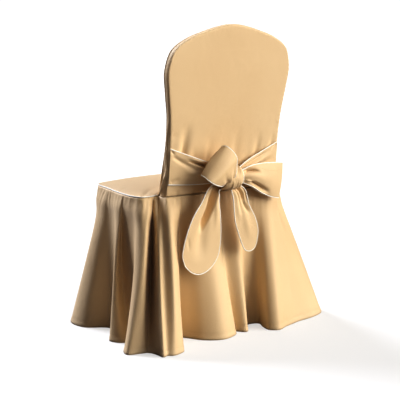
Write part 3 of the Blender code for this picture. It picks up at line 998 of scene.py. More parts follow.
    def depth(self, height: Field) -> Field:
        """Return the back's depth at a height."""
        table = np.array(self.depths)
        return np.interp(height, table[:, 0], table[:, 1])

    def panel(self, rear: bool) -> Sheet:
        """Lay out the rear or the front panel, flat in its own plane.

        Args:
            rear: True for the rear panel.

        Returns:
            The sheet.
        """
        edge = self.edge()
        turn = edge.at[self.shoulder]
        seam = polyline((edge(0.0), edge(1.0)))[0]
        crown = stretch(edge, turn, 1 - turn)
        flat = patch(seam, crown, stretch(edge, 0.0, turn), stretch(edge, 1.0, 1 - turn))

        def surface(u: Field, v: Field) -> Field:
            """Return the panel's points at u, v."""
            x, z = np.moveaxis(flat(u, v), -1, 0)
            y = self.lean(z) - (0.0 if rear else self.depth(z))
            return np.stack((x, y, z + GAP * (1 - v)), axis=-1)

        made = self.rear if rear else self.front
        return Sheet.of(surface, made.columns, made.rows, 1 if rear else -1)

    def spot(self, sheet: Sheet, x: float, z: float) -> Spot:
        """Find the parameters of a place on a panel.

        Args:
            sheet: The panel.
            x: The place's x.
            z: The place's height.

        Returns:
            Its u and v.
        """
        away = np.hypot(sheet.points[..., 0] - x, sheet.points[..., 2] - z)
        row, column = np.unravel_index(np.argmin(away), away.shape)
        rows, columns = away.shape
        return column / (columns - 1), row / (rows - 1)

    def relief(self, sheet: Sheet, made: PanelCloth) -> Field:
        """Work out what both panels share: fullness, unevenness, turned edges and puckers.

        Args:
            sheet: The flat panel.
            made: How it is shaped.

        Returns:
            Heights in metres.
        """
        u, v = sheet.parameters()
        full = made.full * arch(u, 0.8) * arch(v, 0.7)
        uneven = made.uneven * drift(u, v, made.seed, (0, 2), made.waves) * arch(u) * arch(v)
        rolled = self.turned_in(sheet, made.turned_in)
        return full + uneven + rolled + self.seam_puckers(sheet, made.pucker_seed)

    def to_seams(self, sheet: Sheet) -> tuple[Field, Field]:
        """Return each point's distance in cloth from the nearer side seam and from the top."""
        u, v = sheet.parameters()
        scale_u, scale_v = sheet.scales()
        return np.minimum(u, 1 - u) * scale_u, (1 - v) * scale_v

    def turned_in(self, sheet: Sheet, deep: float) -> Field:
        """Return the dip, so deep at the edge, that rolls a sheet's sides and top into their seams."""
        near = np.minimum(*self.to_seams(sheet))
        return -deep * np.clip(1 - near / self.roll_width, 0.0, 1.0) ** 2

    def seam_puckers(self, sheet: Sheet, seed: int) -> Field:
        """Return the small uneven puckers of a sewn edge, which die away within 14 mm."""
        side_pace = 212.0
        top_pace = 190.0
        u, v = sheet.parameters()
        side, top = self.to_seams(sheet)
        by_side = np.sin(v * side_pace + 3 * drift(u, v, seed, (0, 1), (2.0, 5.0)))
        by_top = np.sin(u * top_pace + 3 * drift(v, u, seed + 1, (0, 1), (2.0, 5.0)))
        fade = self.pucker_fade
        return self.pucker * (by_side * np.exp(-side / fade) + by_top * np.exp(-top / fade))

    def rear_panel(self) -> Sheet:
        """Shape the rear panel: a slight fullness, the sash's pulls and puckered seams."""
        foot_on = 0.021
        head_on = 0.019
        head_down = 0.02
        ridge_share = 0.3
        waist_reach = 0.009
        sheet = self.panel(True)
        pulled = [Crease(self.spot(sheet, *foot), self.spot(sheet, *head), -deep, widths, 0.0, 0.95)
                  for foot, head, deep, widths in self.pulls]
        ridges = [Crease(self.spot(sheet, foot[0] + foot_on, foot[1]),
                         self.spot(sheet, head[0] + head_on, head[1] - head_down),
                         deep * ridge_share, widths, 0.0, 0.9)
                  for foot, head, deep, widths in self.pulls]
        v = sheet.parameters()[1]
        waist = -self.waist_dip * np.exp(-(v / waist_reach) ** 2)
        return sheet.creased((*pulled, *ridges, *self.rear_creases), self.relief(sheet, self.rear) + waist)

    def front_panel(self) -> Sheet:
        """Shape the front panel: flatter, with slack folds low down by the seat."""
        sheet = self.panel(False)
        return sheet.creased(self.front_creases, self.relief(sheet, self.front))

    def gusset(self) -> Sheet:
        """Shape the strip round the back's edge: puffed between its seams, slack at the waist."""
        edge = self.edge()
        margin = CLOTH / 2 + GAP
        step = 0.002
        least_inset = 0.0008
        seam_inset = 0.0077

        def surface(u: Field, v: Field) -> Field:
            """Return the strip's points at u, v."""
            run = unit(edge(np.minimum(u + step, 1.0)) - edge(np.maximum(u - step, 0.0)))
            inset = (least_inset + seam_inset * (1 - arch(v)) ** 3)[..., None]
            inwards = np.stack((run[..., 1], -run[..., 0]), axis=-1) * -inset
            x, z = np.moveaxis(edge(u) + inwards, -1, 0)
            z = np.maximum(z, SEAM_Z + GAP)
            deep = self.depth(z)
            y = self.lean(z) - deep + margin + v * (deep - 2 * margin)
            return np.stack((x, y, z), axis=-1)

        sheet = Sheet.of(surface, *self.gusset_steps, -1)
        u, v = sheet.parameters()
        slack_reach = 0.11
        pucker_pace = 760.0
        ends = np.exp(-np.minimum(u, 1 - u) / slack_reach)
        waves = np.sin(u * pucker_pace + 4 * drift(u, v, 41, (3, 9), (0.1, 0.5)))
        pucker = self.gusset_pucker * waves * (1.2 - arch(v))
        slack = self.gusset_slack * ends * drift(u, v, 43, (14, 30), (0.6, 1.6)) * arch(v)
        puff = self.gusset_puff * ends * arch(v) ** 2
        folds = self.gusset_folds + tuple(fold.mirrored() for fold in self.gusset_folds)
        return sheet.creased(folds, pucker + slack + puff)

    def build(self, room: Workroom) -> None:
        """Sew the back's three pieces.

        Args:
            room: What they are sewn with.
        """
        panel_cut = (0.445, 0.502)
        for name, sheet, node, cut, area in (
                ("back_rear_panel", self.rear_panel(), "back_panel", panel_cut, 0.201),
                ("back_front_panel", self.front_panel(), "front_panel", panel_cut, 0.201),
                ("back_gusset_strip", self.gusset(), "back_gusset", (0.040, 1.290), 0.044)):
            room.cloth(name, sheet, node, cut, Held.STRETCHED, area=area)


@dataclass
class Seat:
    """The crowned seat panel and the piping round it."""

    front: Spot = (0.0, -0.352)
    left: tuple[Spot, ...] = (
        (0.100, -0.351),
        (0.185, -0.345),
        (0.232, -0.330),
        (0.248, -0.300),
        (0.253, -0.262),
        (0.262, -0.210),
        (0.272, -0.155),
        (0.277, -0.105),
        (0.276, -0.058),
        (0.266, -0.034),
        (0.243, -0.030),
        (0.220, -0.034),
        (0.2045, -0.040),
    )
    right: tuple[Spot, ...] = (
        (-0.100, -0.351),
        (-0.185, -0.345),
        (-0.230, -0.330),
        (-0.246, -0.300),
        (-0.251, -0.262),
        (-0.258, -0.210),
        (-0.264, -0.160),
        (-0.266, -0.115),
        (-0.260, -0.075),
        (-0.245, -0.052),
        (-0.222, -0.043),
        (-0.2045, -0.040),
    )
    front_corner: int = 2
    rear_corner_left: int = 9
    rear_corner_right: int = 8
    crown: float = 0.020
    uneven: float = 0.0011
    gather: float = 0.0006
    trace: int = 480
    columns: int = 150
    rows: int = 110
    creases: tuple[Crease, ...] = (
        Crease((0.02, 0.03), (0.24, 0.24), -0.0024, (0.005, 0.016), 0.0, 0.7),
        Crease((0.98, 0.03), (0.78, 0.25), -0.0022, (0.005, 0.015), 0.0, 0.7),
        Crease((0.10, 0.01), (0.30, 0.15), 0.0018, (0.006, 0.014), 0.1, 0.7),
        Crease((0.03, 0.97), (0.20, 0.78), -0.0018, (0.005, 0.014), 0.0, 0.7),
        Crease((0.97, 0.97), (0.83, 0.80), -0.0018, (0.005, 0.013), 0.0, 0.7),
        Crease((0.18, 0.06), (0.84, 0.09), -0.0020, (0.010, 0.010), 0.3, 0.3),
        Crease((0.01, 0.40), (0.12, 0.46), -0.0010, (0.004, 0.010), 0.0, 0.8),
        Crease((0.99, 0.55), (0.89, 0.50), -0.0010, (0.004, 0.010), 0.0, 0.8),
    )

    def edge(self) -> Curve:
        """Return the seat's seam from the right of the back round the front to its left."""
        return spline(self.right[::-1] + (self.front,) + self.left)

    def panel(self) -> Sheet:
        """Shape the seat: crowned, with soft dips and small gathers at its seam."""
        squareness = 2.6
        roundness = 0.8
        on_piping = 0.9
        edge = self.edge()
        last = len(edge.at) - 1
        t = np.linspace(0.0, 1.0, self.trace)
        line = edge(t)
        run = unit(np.gradient(line, axis=0))
        line = line + np.stack((-run[:, 1], run[:, 0]), axis=-1) * (PIPE_RADIUS + GAP)

        def between(start: float, end: float) -> Field:
            """Return the seam's points between two of its parameters."""
            return line[(t >= start) & (t <= end)]

        right_corner = edge.at[len(self.right) - 1 - self.rear_corner_right]
        front_right = edge.at[len(self.right) - 1 - self.front_corner]
        front_left = edge.at[last - (len(self.left) - 1 - self.front_corner)]
        left_corner = edge.at[last - (len(self.left) - 1 - self.rear_corner_left)]
        rear = np.vstack((between(left_corner, 1.0), between(0.0, right_corner)))
        front = between(front_right, front_left)[::-1]
        side_left = np.vstack((rear[:1], between(front_left, left_corner)[::-1], front[:1]))
        side_right = np.vstack((rear[-1:], between(right_corner, front_right), front[-1:]))
        flat = patch(*(polyline(side)[0] for side in (rear, front, side_left, side_right)))

        def surface(u: Field, v: Field) -> Field:
            """Return the seat's points at u, v."""
            x, y = np.moveaxis(flat(u, v), -1, 0)
            dome = (1 - np.abs(2 * u - 1) ** squareness) * (1 - np.abs(2 * v - 1) ** squareness)
            dome = np.maximum(dome, 0.0) ** roundness
            z = SEAM_Z + GAP + PIPE_RADIUS * on_piping + self.crown * dome
            return np.stack((x, y, z), axis=-1)

        sheet = Sheet.of(surface, self.columns, self.rows)
        u, v = sheet.parameters()
        uneven = self.uneven * drift(u, v, 53, (0, 3), (0.4, 2.2)) * (arch(u) * arch(v))
        gather_pace = 178.0
        gather_fade = 0.018
        away = np.minimum(np.minimum(u, 1 - u), np.minimum(v, 1 - v))
        waves = np.sin((u - v) * gather_pace + 3 * drift(u, v, 59, (1, 4), (1.0, 3.0)))
        gathers = self.gather * waves * np.exp(-away / gather_fade)
        return sheet.creased(self.creases, uneven + gathers)

    def build(self, room: Workroom) -> None:
        """Sew the seat and its piping.

        Args:
            room: What they are sewn with.
        """
        room.cloth("seat_top", self.panel(), "seat_panel", (0.560, 0.330), Held.STRETCHED, area=0.170)
        piping_steps = 300
        plan = self.edge()(np.linspace(0.0, 1.0, piping_steps))
        height = np.full((len(plan), 1), SEAM_Z + GAP + PIPE_RADIUS)
        room.piping("seat_piping", np.hstack((plan, height)), "piping_seat")


@dataclass
class Skirt:
    """The gathered skirt: the source's folds, with gathers at the seam and a stitched hem."""

    seat: Seat
    back_half_width: float = 0.201
    # Folds: name, distance along the top seam from the middle of the front, hem x and y, and the
    # knee a third of the way down: a share of the way out to the hem, or its own x and y
    folds: tuple[tuple[str, float, Spot, float | Spot], ...] = (
        ("front crest", 0.000, (-0.020, -0.440), STANDS_OUT),
        ("front valley, left", 0.075, (0.060, -0.392), KEPT_IN),
        ("front crest, left", 0.140, (0.140, -0.436), STANDS_OUT),
        ("front left valley", 0.212, (0.205, -0.392), KEPT_IN),
        ("front left corner", 0.275, (0.285, -0.410), KEPT_IN),
        ("front left crest", 0.318, (0.322, -0.357), STANDS_OUT),
        ("front left crest, behind", 0.336, (0.314, -0.299), STANDS_OUT),
        ("left side valley", 0.356, (0.254, -0.247), KEPT_IN),
        ("left side valley, behind", 0.384, (0.256, -0.180), KEPT_IN),
        ("left side crest", 0.425, (0.326, -0.118), (0.293, -0.134)),
        ("left side crest, behind", 0.448, (0.314, -0.090), (0.288, -0.126)),
        ("left rear valley", 0.468, (0.284, -0.070), (0.269, -0.144)),
        ("left rear valley, behind", 0.508, (0.272, -0.036), (0.268, -0.081)),
        ("seat corner crest", 0.538, (0.350, -0.004), (0.294, -0.017)),
        ("seat corner crest, behind", 0.550, (0.357, 0.026), (0.291, -0.002)),
        ("seat corner fold, rear", 0.563, (0.319, 0.038), (0.280, 0.008)),
        ("valley beside the back", 0.580, (0.298, 0.047), (0.215, -0.060)),
        ("back corner fold", 0.600, (0.287, 0.086), (0.250, 0.028)),
        ("back corner fold, rear", 0.612, (0.286, 0.106), (0.247, 0.034)),
        ("back corner tuck", 0.625, (0.271, 0.101), (0.235, 0.033)),
        ("back corner crest", 0.649, (0.252, 0.110), (0.224, 0.056)),
        ("back corner edge", 0.674, (0.213, 0.100), (0.198, 0.047)),
        ("deep rear valley", 0.700, (0.140, -0.040), KEPT_IN),
        ("deep rear valley, mouth", 0.716, (0.118, -0.008), KEPT_IN),
        ("broad rear fold, start", 0.745, (0.090, 0.038), STANDS_OUT),
        ("broad rear fold", 0.772, (0.040, 0.066), STANDS_OUT),
        ("broad rear fold, edge", 0.797, (-0.024, 0.042), STANDS_OUT),
        ("rear tuck", 0.838, (-0.037, 0.012), KEPT_IN),
        ("narrow rear fold", 0.880, (-0.066, 0.042), STANDS_OUT),
        ("right rear valley", 0.925, (-0.124, -0.022), KEPT_IN),
        ("right rear valley, far side", 0.955, (-0.157, -0.010), KEPT_IN),
        ("right rear fold, side", 0.980, (-0.142, 0.034), STANDS_OUT),
        ("right rear fold", 1.000, (-0.139, 0.068), STANDS_OUT),
        ("right rear crest", 1.012, (-0.158, 0.083), STANDS_OUT),
        ("right rear slope", 1.032, (-0.202, 0.068), STANDS_OUT),
        ("right corner slope", 1.050, (-0.279, 0.044), STANDS_OUT),
        ("right corner", 1.070, (-0.350, 0.031), STANDS_OUT),
        ("right corner crest", 1.095, (-0.402, 0.006), STANDS_OUT),
        ("right corner crest, side", 1.125, (-0.432, -0.045), STANDS_OUT),
        ("right side valley", 1.160, (-0.362, -0.088), KEPT_IN),
        ("right side crest", 1.215, (-0.386, -0.152), STANDS_OUT),
        ("right side valley, front", 1.275, (-0.300, -0.205), KEPT_IN),
        ("right front crest", 1.335, (-0.364, -0.262), STANDS_OUT),
        ("right front valley", 1.390, (-0.296, -0.306), KEPT_IN),
        ("right front corner", 1.450, (-0.336, -0.392), STANDS_OUT),
        ("front right valley", 1.520, (-0.240, -0.384), KEPT_IN),
        ("front crest, right", 1.580, (-0.170, -0.434), STANDS_OUT),
        ("front valley, right", 1.640, (-0.098, -0.388), KEPT_IN),
    )
    columns: int = 430
    rows: int = 78
    hem: float = 0.018
    gather: float = 0.0013
    gather_pitch: float = 0.0235
    small_gather: float = 0.6
    small_gather_pitch: float = 0.0155
    gather_reach: float = 0.040
    gather_reach_varies: float = 0.018
    uneven: float = 0.0011
    shelf: float = 0.0045
    shelf_down: float = 0.042
    shelf_reach: float = 0.026
    hem_dip: float = 0.0007
    hem_roll: float = 0.0006
    hem_stitches: int = 1400

    def seam(self) -> tuple[Curve, float]:
        """Return the top seam from the middle of the front round the left side, and its length."""
        t = np.linspace(0.0, 1.0, self.seat.trace)
        left = spline((self.seat.front,) + self.seat.left)(t)
        right = spline((self.seat.front,) + self.seat.right)(t)
        back = np.array(((self.back_half_width, 0.0), (-self.back_half_width, 0.0)))
        return polyline(np.vstack((left, back, right[::-1])))

    def fold_rows(self, top: Curve, girth: float) -> Field:
        """Work out where the folds run.

        Args:
            top: The top seam.
            girth: Its length.

        Returns:
            Each fold's distance along the seam, its knee and its hem.
        """
        rows = []
        for _, along, hem, bend in self.folds:
            seam = top(np.array(along / girth))
            knee = bend if isinstance(bend, tuple) else seam + (np.array(hem) - seam) * bend
            rows.append((along, *knee, *hem))
        return np.array(rows)

    def shape(self) -> Sheet:
        """Shape the skirt: folds that open to the hem, gathers under the seam, small creases."""
        top, girth = self.seam()
        rows = self.fold_rows(top, girth)
        lap = np.array((girth, 0.0, 0.0, 0.0, 0.0))
        open_folds = spline(np.vstack((rows[-2:] - lap, rows, rows[:2] + lap)))
        start = open_folds.at[2]
        end = open_folds.at[-2]

        def surface(u: Field, v: Field) -> Field:
            """Return the skirt's points at u, v."""
            fold = open_folds(start + (end - start) * u)
            seam = top(np.mod(fold[..., 0], girth) / girth)
            down = (1 - v)[..., None]
            # A parabola down the cloth, through the seam, the knee a third of the way and the hem
            plan = (seam * (1 - 3 * down) * (1 - down) + fold[..., 1:3] * 4.5 * down * (1 - down)
                    + fold[..., 3:5] * down * (3 * down - 1) / 2)
            z = (SEAM_Z - GAP) * v + 0.0010 * (1 - v)
            return np.stack((plan[..., 0], plan[..., 1], z), axis=-1)

        sheet = Sheet.of(surface, self.columns, self.rows, closed=True)
        u, v = sheet.parameters()
        below = (1 - v) * SEAM_Z
        pace = 2 * math.pi * open_folds(start + (end - start) * u)[..., 0]
        reach = self.gather_reach + self.gather_reach_varies * drift(u, v, 71, (4, 11), (0.0, 0.0))
        large = np.sin(pace / self.gather_pitch + 1.4 * drift(u, v, 61, (5, 13), (0.0, 0.4)))
        small = np.sin(pace / self.small_gather_pitch + 1.8 * drift(u, v, 67, (6, 16), (0.0, 0.5)))
        faded = smooth_step(0.0, 0.016, below) * np.exp(-(below / reach) ** 1.4)
        gathers = self.gather * (large + self.small_gather * small) * faded
        soft = self.uneven * drift(u, v, 73, (9, 26), (0.0, 0.5)) * smooth_step(0.05, 0.30, below)
        shelf = self.shelf * np.exp(-((below - self.shelf_down) / self.shelf_reach) ** 2)
        hem_line = SEAM_Z - self.hem
        thread_dip = 0.0022
        hem = -self.hem_dip * np.exp(-((below - hem_line) / thread_dip) ** 2)
        roll = self.hem_roll * smooth_step(hem_line, SEAM_Z - self.hem * 0.6, below)
        return sheet.creased([], gathers + soft + shelf + hem + roll)

    def build(self, room: Workroom) -> None:
        """Sew the skirt and the stitches of its hem.

        Args:
            room: What they are sewn with.
        """
        sheet = self.shape()
        room.cloth("skirt_cloth", sheet, "skirt", (3.300, 0.442), Held.GATHERED, area=1.130)
        turn = np.linspace(0.0, 1.0, self.hem_stitches, endpoint=False)
        line = sheet.line(turn, np.full_like(turn, self.hem / SEAM_Z), STITCH_LIFT)
        room.stitches("skirt_hem_stitches", line, pitch=0.0048, length=0.0034, closed=True)


@dataclass
class Bow:
    """The sash and its bow: bands from the back's sides, knot, two loops and two tails."""

    middle: Place = (0.004, 0.046, 0.489)
    radii: Place = (0.034, 0.029, 0.035)
    wrap: Place = (0.044, 0.030, 0.035)
    # Sash bands, from the back's side to the knot: top edge, bottom edge, rise of the middle
    sash_left: tuple[Section, ...] = (
        ((0.2005, 0.0201, 0.584), (0.2000, 0.0079, 0.481), (0.0, 0.000, 0.0)),
        ((0.1420, 0.0250, 0.562), (0.1340, 0.0130, 0.476), (0.0, 0.002, 0.0)),
        ((0.1090, 0.0340, 0.549), (0.1000, 0.0240, 0.476), (0.0, 0.002, 0.0)),
        ((0.0800, 0.0400, 0.538), (0.0740, 0.0330, 0.477), (0.0, 0.002, 0.0)),
        ((0.0560, 0.0420, 0.528), (0.0520, 0.0370, 0.478), (0.0, 0.001, 0.0)),
        ((0.0400, 0.0400, 0.510), (0.0400, 0.0380, 0.478), (0.0, 0.000, 0.0)),
    )
    sash_right: tuple[Section, ...] = (
        ((-0.1990, 0.0192, 0.578), (-0.2000, 0.0076, 0.480), (0.0, 0.000, 0.0)),
        ((-0.1340, 0.0250, 0.554), (-0.1340, 0.0120, 0.478), (0.0, 0.002, 0.0)),
        ((-0.0790, 0.0310, 0.533), (-0.0790, 0.0210, 0.477), (0.0, 0.002, 0.0)),
        ((-0.0320, 0.0360, 0.512), (-0.0320, 0.0340, 0.480), (0.0, 0.000, 0.0)),
    )
    # Loops, round their fold from the knot's far side to its near side
    loop_up: tuple[Section, ...] = (
        ((0.0280, 0.0440, 0.508), (0.0080, 0.0420, 0.524), (0.000, 0.000, 0.000)),
        ((0.0720, 0.0560, 0.509), (0.0230, 0.0520, 0.546), (0.000, 0.000, 0.000)),
        ((0.1080, 0.0600, 0.513), (0.0350, 0.0560, 0.572), (0.002, 0.000, 0.004)),
        ((0.121, 0.064, 0.510), (0.046, 0.060, 0.584), (0.004, 0.000, 0.005)),
        ((0.120, 0.079, 0.505), (0.042, 0.074, 0.587), (0.000, 0.002, 0.002)),
        ((0.116, 0.091, 0.497), (0.028, 0.085, 0.575), (0.000, 0.003, 0.000)),
        ((0.106, 0.097, 0.489), (0.014, 0.090, 0.555), (0.000, 0.005, 0.000)),
        ((0.086, 0.092, 0.480), (0.010, 0.086, 0.531), (0.000, 0.005, 0.000)),
        ((0.057, 0.080, 0.473), (0.010, 0.080, 0.499), (0.000, 0.003, 0.000)),
        ((0.0330, 0.0600, 0.468), (0.0140, 0.0680, 0.470), (0.000, 0.000, 0.000)),
    )
    loop_right: tuple[Section, ...] = (
        ((-0.0300, 0.0460, 0.503), (-0.0300, 0.0460, 0.478), (0.000, 0.000, 0.000)),
        ((-0.0700, 0.0400, 0.511), (-0.0700, 0.0400, 0.461), (0.000, -0.002, 0.000)),
        ((-0.1150, 0.0330, 0.514), (-0.1100, 0.0330, 0.437), (0.000, -0.003, 0.000)),
        ((-0.1640, 0.0270, 0.515), (-0.1550, 0.0270, 0.418), (0.000, -0.002, 0.000)),
        ((-0.2080, 0.0340, 0.514), (-0.1950, 0.0330, 0.408), (-0.004, 0.000, 0.000)),
        ((-0.1590, 0.0460, 0.519), (-0.1560, 0.0450, 0.417), (0.000, 0.008, 0.000)),
        ((-0.1150, 0.0510, 0.521), (-0.1160, 0.0500, 0.433), (0.000, 0.009, 0.000)),
        ((-0.0680, 0.0560, 0.518), (-0.0750, 0.0550, 0.457), (0.000, 0.006, 0.000)),
        ((-0.0300, 0.0570, 0.506), (-0.0300, 0.0570, 0.474), (0.000, 0.000, 0.000)),
    )
    # Tails: down the left edge, round the tip and down the right edge, as x and z
    tail_left: tuple[tuple[Spot, ...], ...] = (
        ((0.036, 0.478), (0.076, 0.468), (0.115, 0.421), (0.142, 0.390), (0.162, 0.357),
         (0.180, 0.308), (0.186, 0.272), (0.177, 0.244)),
        ((0.177, 0.244), (0.155, 0.224), (0.129, 0.215), (0.103, 0.220), (0.081, 0.234)),
        ((0.020, 0.455), (0.046, 0.450), (0.053, 0.425), (0.052, 0.393), (0.051, 0.338),
         (0.054, 0.292), (0.064, 0.256), (0.081, 0.234)),
    )
    tail_right: tuple[tuple[Spot, ...], ...] = (
        ((0.002, 0.4525), (-0.004, 0.430), (-0.004, 0.402), (-0.007, 0.355), (-0.021, 0.313),
         (-0.034, 0.281)),
        ((-0.034, 0.281), (-0.044, 0.267), (-0.059, 0.262), (-0.075, 0.267), (-0.084, 0.280)),
        ((-0.020, 0.461), (-0.046, 0.452), (-0.058, 0.403), (-0.081, 0.357),
         (-0.090, 0.321), (-0.086, 0.289), (-0.084, 0.280)),
    )
    hang: tuple[Spot, ...] = ((0.215, 0.062), (0.350, 0.062), (0.400, 0.058), (0.480, 0.046))
    tuck: float = 0.010
    fan: float = 0.0016
    sash_steps: tuple[int, int] = (64, 96)
    loop_steps: tuple[int, int] = (52, 150)
    tail_steps: tuple[int, int] = (56, 90)
    knot_steps: tuple[int, int] = (160, 48)

    def on_knot(self, point: Field, clearance: float) -> Field:
        """Move a point onto the knot's surface, a clearance outside it."""
        middle = np.array(self.middle)
        radii = np.array(self.radii)
        way = (np.array(point, float) - middle) / radii
        way /= np.linalg.norm(way)
        return middle + way * (radii + clearance)

    def rooted(self, sections: Sequence[Section], ends: Sequence[int]) -> list[Section]:
        """Lead the named end sections of a band in under the knot's wrap.

        Args:
            sections: The band's sections.
            ends: The ends to move, 0 or -1.

        Returns:
            The sections with those ends moved.
        """
        moved = list(sections)
        for index in ends:
            one = self.on_knot(moved[index][0], -self.tuck)
            other = self.on_knot(moved[index][1], -self.tuck)
            middle = (one + other) / 2
            moved[index] = (one, other, self.on_knot(middle, -self.tuck) - middle)
        return moved

    def sash(self, room: Workroom, side: str, sections: Sequence[Section], creases: Sequence[Crease],
             outward: int, bottom_piped: bool, seed: int) -> None:
        """Sew a sash band and its piping.

        Args:
            room: What it is sewn with.
            side: left or right.
            sections: The band's sections.
            creases: Its creases, with u down the band and v to the knot.
            outward: 1 or -1, for the face that is seen.
            bottom_piped: True if the bottom edge is piped too.
            seed: Seed of its unevenness.
        """
        sheet = Sheet.of(band(self.rooted(sections, (-1,))), *self.sash_steps, outward)
        u, v = sheet.parameters()
        fan_pace = 24.0
        fan = self.fan * np.sin(u * fan_pace + 2.0 * drift(v, u, seed, (0, 1), (0.4, 1.0)))
        spread = smooth_step(0.25, 0.9, v) * (1 - smooth_step(0.93, 1.0, v))
        sheet = sheet.creased(creases, fan * spread)
        room.cloth(f"sash_{side}_band", sheet, f"sash_{side}", (0.110, 0.205), Held.GATHERED, area=0.0182)
        piped = [("top", Side.FIRST)]
        if bottom_piped:
            piped.append(("bottom", Side.LAST))
        for place, edge in piped:
            room.piping(f"sash_{side}_{place}_cord", sheet.edge(edge, CORD_STANDS_OFF),
                        f"sash_{side}_piping_{place}")

    def loop(self, room: Workroom, name: str, sections: Sequence[Section], creases: Sequence[Crease],
             cut: Spot) -> Sheet:
        """Sew a bow loop with piping on both edges.

        Args:
            room: What it is sewn with.
            name: The CAD node's name.
            sections: The loop's sections.
            creases: Its creases, with v from the knot's far side round to its near side.
            cut: Width and length of the flat cut.

        Returns:
            The finished sheet.
        """
        sheet = Sheet.of(band(self.rooted(sections, (0, -1))), *self.loop_steps, -1).creased(creases)
        room.cloth(f"{name}_ribbon", sheet, name, cut, Held.FOLDED)
        for letter, edge in (("a", Side.FIRST), ("b", Side.LAST)):
            room.piping(f"{name}_cord_{letter}", sheet.edge(edge, CORD_STANDS_OFF),
                        f"{name}_piping_{letter}")
        return sheet

    def tail(self, room: Workroom, name: str, outline: Sequence[Sequence[Spot]], creases: Sequence[Crease],
             cut: Spot, area: float) -> None:
        """Sew a hanging tail with piping round it.

        Args:
            room: What it is sewn with.
            name: The CAD node's name.
            outline: Left edge, tip and right edge, as x and z.
            creases: Its creases, with u from left to right and v from the knot to the tip.
            cut: Width and length of the flat cut.
            area: The flat cut's area.
        """
        table = np.array(self.hang)
        left, tip, right = ([np.array((x, np.interp(z, table[:, 0], table[:, 1]), z)) for x, z in side]
                            for side in outline)
        left[0] = self.on_knot(left[0], -self.tuck / 2)
        right[0] = self.on_knot(right[0], -self.tuck / 2)
        root = self.on_knot((left[0] + right[0]) / 2, -self.tuck / 2)
        surface = patch(spline((left[0], root, right[0])), spline(tip), spline(left), spline(right))
        sheet = Sheet.of(surface, *self.tail_steps, -1).creased(creases)
        room.cloth(f"{name}_cloth", sheet, name, cut, Held.HUNG, area=area)
        down = sheet.edge(Side.FIRST, CORD_STANDS_OFF)
        round_tip = sheet.edge(Side.HIGH, CORD_STANDS_OFF)
        up = sheet.edge(Side.LAST, CORD_STANDS_OFF)[::-1]
        room.piping(f"{name}_cord", np.vstack((down[:-1], round_tip[1:-1], up[1:])), f"{name}_piping")

    def knot(self, room: Workroom) -> None:
        """Wrap the knot: a folded band round the gathered bow, piped on its right edge.

        Args:
            room: What it is sewn with.
        """
        middle = np.array(self.middle)
        radii = np.array(self.wrap)
        right = -0.78
        left = 0.70
        fullness = 2.6

        def surface(u: Field, v: Field) -> Field:
            """Return the wrap's points: u goes round it and v from its right to its left edge."""
            turn = 2 * math.pi * u
            x = right + (left - right) * v
            round_it = (1 - np.abs(x) ** fullness) ** (1 / fullness)
            y = np.cos(turn) * round_it
            z = np.sin(turn) * round_it
            return middle + np.stack((x, y, z), axis=-1) * radii

        sheet = Sheet.of(surface, *self.knot_steps, -1, closed=True)
        folds = [
            Crease((0.31, 0.10), (0.02, 0.22), -0.0030, (0.0022, 0.0030), 0.2, 0.3),
            Crease((0.30, 0.22), (0.00, 0.42), 0.0024, (0.0030, 0.0042), 0.2, 0.3, Profile.LAP),
            Crease((0.28, 0.40), (0.03, 0.62), -0.0034, (0.0022, 0.0034), 0.2, 0.3),
            Crease((0.27, 0.58), (0.02, 0.80), 0.0022, (0.0028, 0.0036), 0.2, 0.3, Profile.LAP),
            Crease((0.98, 0.20), (0.70, 0.12), -0.0028, (0.0024, 0.0028), 0.3, 0.3),
            Crease((0.99, 0.42), (0.68, 0.34), 0.0024, (0.0030, 0.0036), 0.3, 0.3, Profile.LAP),
            Crease((1.00, 0.64), (0.70, 0.58), -0.0032, (0.0024, 0.0034), 0.3, 0.3),
            Crease((0.66, 0.30), (0.36, 0.44), -0.0022, (0.0030, 0.0030), 0.3, 0.3),
            Crease((0.66, 0.66), (0.36, 0.76), -0.0022, (0.0030, 0.0030), 0.3, 0.3),
        ]
        sheet = sheet.creased(folds)
        room.cloth("knot_wrap", sheet, "knot", (0.185, 0.066), Held.FOLDED)
        cord_in = 0.7
        ring = sheet.edge(Side.LOW, PIPE_RADIUS * cord_in)[:-1]
        steps_before_top = 46
        steps_piped = 96
        seen = np.roll(ring, steps_before_top, axis=0)[:steps_piped]
        room.piping("knot_cord", seen, "piping_knot")

